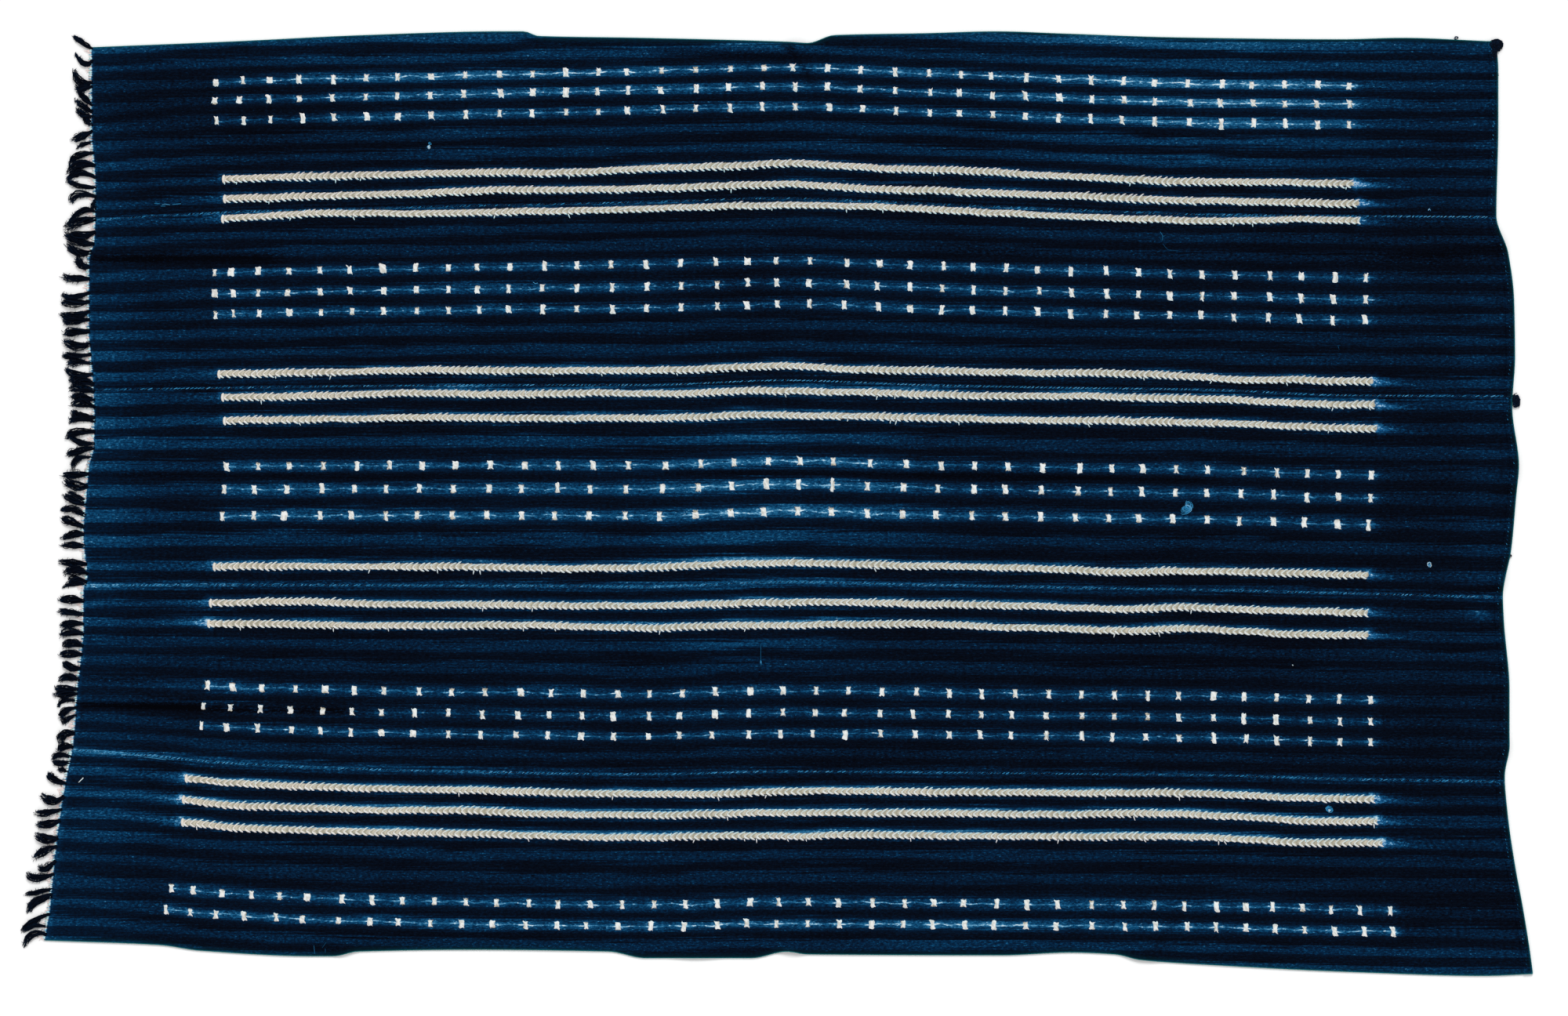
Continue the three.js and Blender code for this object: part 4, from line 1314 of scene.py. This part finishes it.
# Columns: strip, middle in the photograph's pixels, half sizes there, strands, radius, paleness from
# and to, height in millimetres.
tufts = [
    ("panel_3", 1512, 650, 8.0, 5.5, 20, 0.3, 0.56, 0.74, 0.5),
    ("panel_3", 1517, 645, 6.0, 7.0, 14, 0.3, 0.6, 0.78, 0.5),
    ("panel_3", 1514, 649, 7.5, 7.0, 8, 0.34, 0.78, 0.9, 0.7),
    ("panel_1", 547, 188, 2.2, 2.4, 9, 0.4, 0.8, 1.0, 0.9),
    ("panel_1", 549, 183, 2.4, 1.8, 6, 0.34, 0.5, 0.75, 0.7),
    ("panel_1", 1823, 268, 1.6, 1.4, 5, 0.34, 0.7, 0.95, 0.7),
    ("panel_3", 1823, 720.5, 3.2, 3.4, 12, 0.36, 0.75, 1.0, 1.0),
    ("panel_5", 1695, 1032, 5.5, 4.0, 18, 0.34, 0.6, 0.8, 0.6),
    ("panel_5", 1695, 1033, 2.0, 2.0, 9, 0.4, 0.9, 1.0, 1.1),
    ("panel_4", 970.5, 845, 0.9, 4.0, 6, 0.3, 0.6, 0.9, 0.6),
    ("panel_1", 1857.5, 48.5, 3.0, 2.4, 9, 0.45, 0.2, 0.45, 1.2),
    ("panel_3", 1926.5, 709, 1.8, 2.0, 6, 0.5, 0.1, 0.2, 1.5),
    ("panel_1", 1908, 58, 7.6, 8.6, 110, 0.75, 0.06, 0.24, 3.6),
    ("panel_1", 1905, 69, 5.0, 9.0, 50, 0.6, 0.06, 0.24, 2.4),
    ("panel_2", 1933.5, 511, 5.0, 8.6, 80, 0.5, 0.06, 0.3, 2.6),
]


def add_tuft(parts, strip_name, middle_x, middle_y, half_x, half_y, strands, radius, low, high, height):
    """A small tangle of yarn ends that curl round one place."""
    for _ in range(strands):
        angle = chance_of.uniform(0, 2 * math.pi)
        far = math.sqrt(chance_of.uniform(0, 0.8))
        path = []
        for _ in range(4):
            away_x, away_y = half_x * far * math.cos(angle), half_y * far * math.sin(angle)
            x, y = on_cloth(middle_x + away_x, middle_y + away_y)
            rise = 0.2 + height * chance_of.uniform(0, 1) * (1 - 0.7 * far)
            path.append(on_top(strip_name, x, y, rise))
            angle += chance_of.uniform(0.25, 0.9) / max(far, 0.35)
            far = min(1.3, far + chance_of.uniform(-0.14, 0.22))
        add_strand(parts, path, [radius * r for r in (0.6, 1, 1, 0.5)], chance_of.uniform(low, high))


for strip_name in strips:
    parts = new_parts("pale")
    for thread_strip, radius, pale, course in loose_threads:
        if thread_strip == strip_name:
            path = [on_top(strip_name, *on_cloth(*spot), 0.25) for spot in course]
            add_strand(parts, path, [radius] * len(path), pale)
    for tuft_strip, *tuft in tufts:
        if tuft_strip == strip_name:
            add_tuft(parts, strip_name, *tuft)
    marks = join_parts(strip_name + "_loose_yarns", parts, sewing_thread, sharp=False)
    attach(marks, "root")
    trimmings[strip_name].append(marks)

# The fringe: at the left end the warp yarns run out of the weave and hang together in small thick
# locks, dyed nearly black. Pale broken ends of weft show along the edge they come from, and soft pink
# ones under the locks stand in part for painted pinkish shade between the locks.
yarn_radius = 0.56
fray_from = 0.72
lock_fullness = 1.3
burrs_a_lock = 30
broken_weft_pitch = 2.1
pink_shade_weft_pitch = 0.75
lock_shape = [(0, 0.5), (0.12, 0.65), (0.3, 1.1), (0.55, 1.35), (0.8, 1.15), (1, 0.7), (1.1, 0.45)]
# In the photograph's pixels. Columns: y of the root, the middle, the tip, the lock's width, its splay.
locks_of = {
    "fringe_1": [
        (62.6, 106, 55, 94.4, 46.3, 4.5, 0.4), (76.3, 109, 81.4, 97.5, 70, 5, 0.4),
        (105.4, 102, 104, 96, 90, 7, 0.8), (110, 104, 113, 98, 111, 6, 1.0),
        (134.6, 107, 124, 98.7, 112, 5, 0.7), (143, 107, 136, 97, 128, 5, 0.8),
        (148.3, 107, 146, 98, 139.7, 5, 0.7), (161, 111, 153, 107, 143, 5, 0.5),
        (167, 105, 174, 93.6, 177.4, 7, 0.9), (181, 108, 184, 98.7, 188, 3, 0.5),
        (195.4, 100.4, 198, 89.3, 207.4, 5.5, 0.4), (211.7, 102, 210, 87.6, 219, 7.5, 0.6),
        (227, 100.4, 220, 86.7, 231, 6, 0.5), (240, 100.4, 236.6, 87.6, 231, 5, 0.4),
        (251, 100.4, 247.7, 91, 258, 6.5, 0.4), (252, 119, 262, 121, 270, 4, 0.5),
        (270.9, 105, 269, 87, 284, 5, 0.4), (279.4, 102, 283.7, 85, 291, 8, 0.8),
    ],
    "fringe_2": [
        (295.7, 102, 301, 86.7, 297.4, 7.5, 0.8), (311, 100.4, 309, 85, 300, 7, 0.8),
        (321.4, 101, 322, 86, 312, 6.5, 0.8), (340.3, 104, 338, 98.7, 327, 7, 0.6),
        (355.7, 96, 356, 80.7, 353, 7, 1.5), (372.9, 93.6, 379.7, 79.9, 375.4, 6, 0.6),
        (384.9, 93.6, 386.6, 80.7, 385, 7.5, 0.7), (396.9, 93.6, 403.7, 78, 401, 7, 0.6),
        (408, 93.6, 409, 81.6, 411, 6.5, 0.6), (422.6, 93.6, 423.4, 83.3, 424, 8, 0.6),
        (438, 97, 441.4, 83.3, 434, 8.5, 0.7), (451.7, 93.6, 454.3, 81.6, 452.6, 6.5, 0.4),
        (463.7, 98.7, 462, 88.4, 465.4, 6, 0.9), (477.4, 98.7, 478, 85, 470.6, 6, 0.5),
        (491, 102, 484.3, 90, 487.7, 8, 0.8),
    ],
    "fringe_3": [
        (499.7, 103.9, 495, 89.5, 496, 7.5, 0.6), (510, 103.9, 506.6, 91.9, 507, 6.5, 0.6),
        (520.3, 105.6, 514, 91.9, 517, 7, 0.6), (532.3, 103.9, 530.6, 92.7, 524, 6, 0.6),
        (538.3, 102, 533, 88.4, 538.3, 6, 0.4), (551, 98.7, 551, 86.5, 559, 7, 0.6),
        (565.7, 102, 564, 90, 556, 5, 0.4), (570.9, 100.4, 575, 86.7, 580.3, 6.5, 0.6),
        (583.7, 98.7, 586, 93.6, 597, 5, 0.4), (604.3, 97, 604.3, 80.7, 606, 7.5, 1.0),
        (619.7, 97, 619.7, 82.4, 613.5, 8.5, 0.9), (638.6, 98, 633, 88.4, 627.7, 3, 0.3),
        (644.3, 96, 639, 82, 631, 6.5, 0.7), (658, 93.6, 650, 79, 650.3, 6.5, 0.4),
        (672.6, 91.9, 665.7, 79, 661.4, 7, 0.5), (682, 93.6, 681, 79.9, 687, 6.5, 0.4),
        (696.6, 93.6, 695, 79, 695, 5.5, 0.3), (719.7, 93.6, 718, 76.4, 717, 6, 0.3),
        (732.6, 97, 727.4, 83.3, 731, 8, 0.9), (742.9, 97, 738, 88, 741, 6, 0.8),
    ],
    "fringe_4": [
        (746.3, 93.6, 744.6, 81.6, 748.9, 3.5, 0.3), (766.9, 90, 764.3, 77.3, 766, 7, 0.5),
        (783, 90, 782.3, 76.4, 780, 6.5, 1.2), (796, 90, 795, 78, 799, 6, 0.5),
        (808.9, 90, 806, 78, 810, 7.5, 0.6), (824.3, 91.9, 820, 80.7, 824, 7, 0.7),
        (835.4, 90, 834, 78, 836, 6.5, 0.6), (852.6, 90, 851, 80.7, 845, 6.5, 0.5),
        (868, 88.4, 863, 76.4, 867, 6.5, 0.6), (879, 83.3, 878.3, 71.3, 878, 6, 0.6),
        (885, 83.3, 885, 70.4, 886, 6.5, 0.9), (893.7, 83.3, 893.7, 74.7, 900.6, 4, 0.5),
        (902.3, 82, 907, 79, 916, 6, 0.4), (912, 84, 918, 84, 923, 5, 0.5),
        (934.9, 81.6, 936.6, 78, 946, 7.5, 0.6),
    ],
    "fringe_5": [
        (953.4, 82, 951.7, 74.3, 956.9, 6.5, 0.8), (966, 77, 963, 67.5, 967, 5, 0.6),
        (971, 77, 974, 68, 970, 5, 0.6), (984.3, 80, 982, 75, 981, 3, 0.3),
        (999.7, 70, 995, 62.3, 986, 6.5, 0.3), (1015, 68.3, 1021, 53.5, 1014.3, 7.5, 0.4),
        (1032.3, 61.4, 1037, 46.9, 1036.6, 6, 0.4), (1046, 59.7, 1051, 48.6, 1051, 7, 0.9),
        (1068.3, 59.7, 1070, 46, 1064, 8, 0.9), (1079.4, 56.3, 1085.4, 44.3, 1094, 7, 0.4),
        (1097.4, 59, 1107, 50, 1106, 7, 0.8), (1114.6, 48, 1119.5, 35, 1114, 7, 0.3),
        (1133.4, 49.4, 1136.9, 33, 1141, 4.5, 0.7), (1140, 49, 1147, 36, 1156, 5, 1.0),
        (1143.7, 47.7, 1150, 36.5, 1163, 5.5, 0.6), (1166, 44.3, 1174.6, 29, 1187, 5.5, 0.5),
        (1182, 45, 1181, 34, 1187, 3, 0.4), (1192, 43, 1191, 31, 1206, 6, 0.6),
    ],
}
fringe_yarn, tree, yarn_shader = start_finish("dark fringe yarn", 0.03)
pale_yarn = read_values(tree, "pale")[0]
ply = noise(tree, in_millimetres(tree), (0.7, 0.35, 0.35), 2)
yarn_pale = add_shares(tree, pale_yarn, (reckon(tree, "SUBTRACT", ply, 0.45), 0.3))
yarn_colour = use_group(tree, indigo_dye, Paleness=yarn_pale).outputs["Color"]
yarn_colour = blend_colours(tree, span(tree, pale_yarn, 1.0, 1.2), yarn_colour, (192, 236, 238))
# Soft pink for the undyed weft ends under the locks, partly a painted pinkish shade between the locks.
yarn_colour = blend_colours(tree, span(tree, pale_yarn, 1.5, 1.8), yarn_colour, (246, 226, 222))
end_finish(tree, yarn_shader, yarn_colour, ply, (0.75, 0.95), ply, 0.6, 0.0003)


def on_course(course, way):
    """A place along a lock's course, and the direction across it there."""
    root, control, tip = course
    spot = root * (1 - way) ** 2 + 2 * control * way * (1 - way) + tip * way**2
    along = 2 * (control - root) * (1 - way) + 2 * (tip - control) * way
    return spot, np.array((-along[1], along[0])) / max(math.hypot(*along), 1e-6)


def half_width(lock_width, way):
    return np.interp(way, *zip(*lock_shape)) * lock_width / 2


def add_twisted_yarns(parts, course, root_high, lock_width, splay):
    """The lock's own yarns, laid round its course in one twist and frayed at the tip."""
    twist = chance_of.uniform(1.2, 2.6) * chance_of.choice((-1, 1))
    for _ in range(int(8 + 1.7 * lock_width)):
        start_angle = chance_of.uniform(0, 2 * math.pi)
        ring = math.sqrt(chance_of.uniform(0.04, 1))
        length = chance_of.uniform(0.84, 1.08)
        stray = chance_of.normal(0, splay, 2)
        curl, turns = chance_of.uniform(0.1, 0.8), chance_of.uniform(1, 2.4)
        curl_start = chance_of.uniform(0, 2 * math.pi)
        path, radii, pales = [], [], []
        for t in (0, 0.14, 0.3, 0.46, 0.62, 0.78, 0.9, 1):
            way = t * length
            spot, side = on_course(course, way)
            out = (half_width(lock_width, way) - yarn_radius * 0.6) * ring
            angle = start_angle + twist * way
            fray = max(0, way - fray_from) / (1 - fray_from)
            bend = curl * way * math.sin(2 * math.pi * turns * way + curl_start)
            bend += chance_of.uniform(-0.25, 0.25)
            spot = spot + side * (out * math.cos(angle) + stray[0] * fray + bend)
            low = out * 0.6 + yarn_radius
            height = max(root_high * (1 - way) ** 2, 0) + low + out * 0.6 * math.sin(angle)
            height = max(height * (1 - 0.25 * fray), yarn_radius)
            path.append((spot[0] + stray[1] * fray * 0.5, spot[1], height))
            radii.append(yarn_radius * (1.1 - 0.5 * fray))
            pales.append(np.clip(0.06 + 0.1 * fray + chance_of.uniform(-0.03, 0.1), 0, 1))
        add_strand(parts, path, radii, pales, sides=5)


def add_burrs(parts, course, lock_width):
    """Short hairs that stand out all round a lock."""
    for _ in range(burrs_a_lock):
        way = chance_of.uniform(0.08, 1.05)
        spot, _ = on_course(course, way)
        heading = chance_of.uniform(0, 2 * math.pi)
        reach = half_width(lock_width, way) + chance_of.uniform(0.1, 1.9)
        path = []
        for t in (0.3, 0.7, 1):
            swing = heading + 0.7 * t
            high = 0.5 + lock_width * 0.4 * (1 - t * 0.5)
            path.append((spot[0] + reach * t * math.cos(swing), spot[1] + reach * t * math.sin(swing), high))
        add_strand(parts, path, [0.45, 0.4, 0.16], chance_of.uniform(0.08, 0.36), sides=3)


def add_curl_and_loops(parts, course, root_high, lock_width):
    """A tight curl where the lock leaves the cloth, and two loops that have slipped out of its side."""
    middle = sum(spot * share for spot, share in zip(course, (0.78, 0.2, 0.02)))
    start_angle = chance_of.uniform(0, 2 * math.pi)
    path = []
    for t in np.linspace(0, 1.15, 8):
        angle = start_angle + 2 * math.pi * t
        path.append((middle[0] + 1.3 * math.cos(angle), middle[1] + 1.15 * math.sin(angle), root_high + 0.9))
    add_strand(parts, path, [0.5] * len(path), 0.12)
    for _ in range(2):
        first, hand = chance_of.uniform(0.15, 0.65), chance_of.choice((-1, 1))
        bulge = chance_of.uniform(0.4, 2.2)
        path = []
        for t in np.linspace(0, 1, 6):
            spot, side = on_course(course, first + 0.32 * t)
            spot = spot + side * hand * (lock_width * 0.4 + bulge * math.sin(math.pi * t))
            path.append((spot[0], spot[1], 0.7 + 0.25 * lock_width))
        add_strand(parts, path, [0.38] * len(path), chance_of.uniform(0.06, 0.24))


def add_lock(parts, root_pixel, middle_x, middle_y, tip_x, tip_y, lock_width, splay):
    _, root_y = on_cloth(0, root_pixel)
    root = np.array((float(follow(left_end, root_y)) + backing_width * 0.8, root_y))
    middle, tip = np.array(on_cloth(middle_x, middle_y)), np.array(on_cloth(tip_x, tip_y))
    course = (root, 2 * middle - (root + tip) / 2, tip)
    root_high = float(lift(root[0], root[1])) + 0.6
    lock_width = lock_width * pixel * lock_fullness
    add_twisted_yarns(parts, course, root_high, lock_width, splay)
    add_burrs(parts, course, lock_width)
    add_curl_and_loops(parts, course, root_high, lock_width)


def add_weft_ends(parts, high, low):
    """Broken ends of weft along the edge, and soft pink undyed ones under the locks that are partly painted
    shade.
    """
    for y in np.arange(high + 0.6, low - 0.3, broken_weft_pitch):
        y = y + chance_of.uniform(-0.8, 0.8)
        edge_x = float(follow(left_end, y))
        outer = edge_x - chance_of.uniform(0.6, 2.6)
        base = float(lift(np.float64(edge_x + 2), np.float64(y)))
        pale = np.clip(1.08 + chance_of.normal(0, 0.16), 0.3, 1.2)
        path = [
            (edge_x + backing_width, y, base + 0.9),
            (edge_x + 1.6, y + chance_of.uniform(-0.3, 0.3), base + 1.6),
            (edge_x + 0.3, y + chance_of.uniform(-0.5, 0.5), base + 1.7),
            (outer, y + chance_of.uniform(-0.8, 0.8), base + 0.8),
        ]
        thick = chance_of.uniform(0.6, 1.05)
        add_strand(parts, path, [thick * r for r in (0.6, 1, 1, 0.6)], [0.1, pale * 0.6, pale, pale])
    # Soft pink ends under the locks: undyed yarn that also stands for painted shade between the locks.
    for y in np.arange(high + 0.6, low - 0.3, pink_shade_weft_pitch):
        y = y + chance_of.uniform(-0.4, 0.4)
        edge_x = float(follow(left_end, y))
        gathered = math.sin(y / 5.3 + math.sin(y / 17)) ** 2
        reach = chance_of.uniform(0.8, 2.4) + 7 * gathered * chance_of.uniform(0, 1) ** 1.5
        drift = chance_of.uniform(-2.4, 2.4)
        path = []
        for t in (0, 0.4, 0.75, 1):
            path.append((edge_x + 1.5 - (reach + 1.5) * t, y + drift * t * t, 1.3 - 0.6 * t))
        add_strand(parts, path, [0.3, 0.32, 0.28, 0.16], 2.0)


for (fringe, locks), strip_name in zip(locks_of.items(), strips):
    parts = new_parts("pale")
    for lock in locks:
        add_lock(parts, *lock)
    add_weft_ends(parts, *strip_edges(strip_name, 110.0, (74.0, 0.5), (25.0, 0.5)))
    piece = join_parts(fringe + "_yarns", parts, fringe_yarn, sharp=False)
    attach(piece, "root")
    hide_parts(fringe)
    trimmings[strip_name].append(piece)
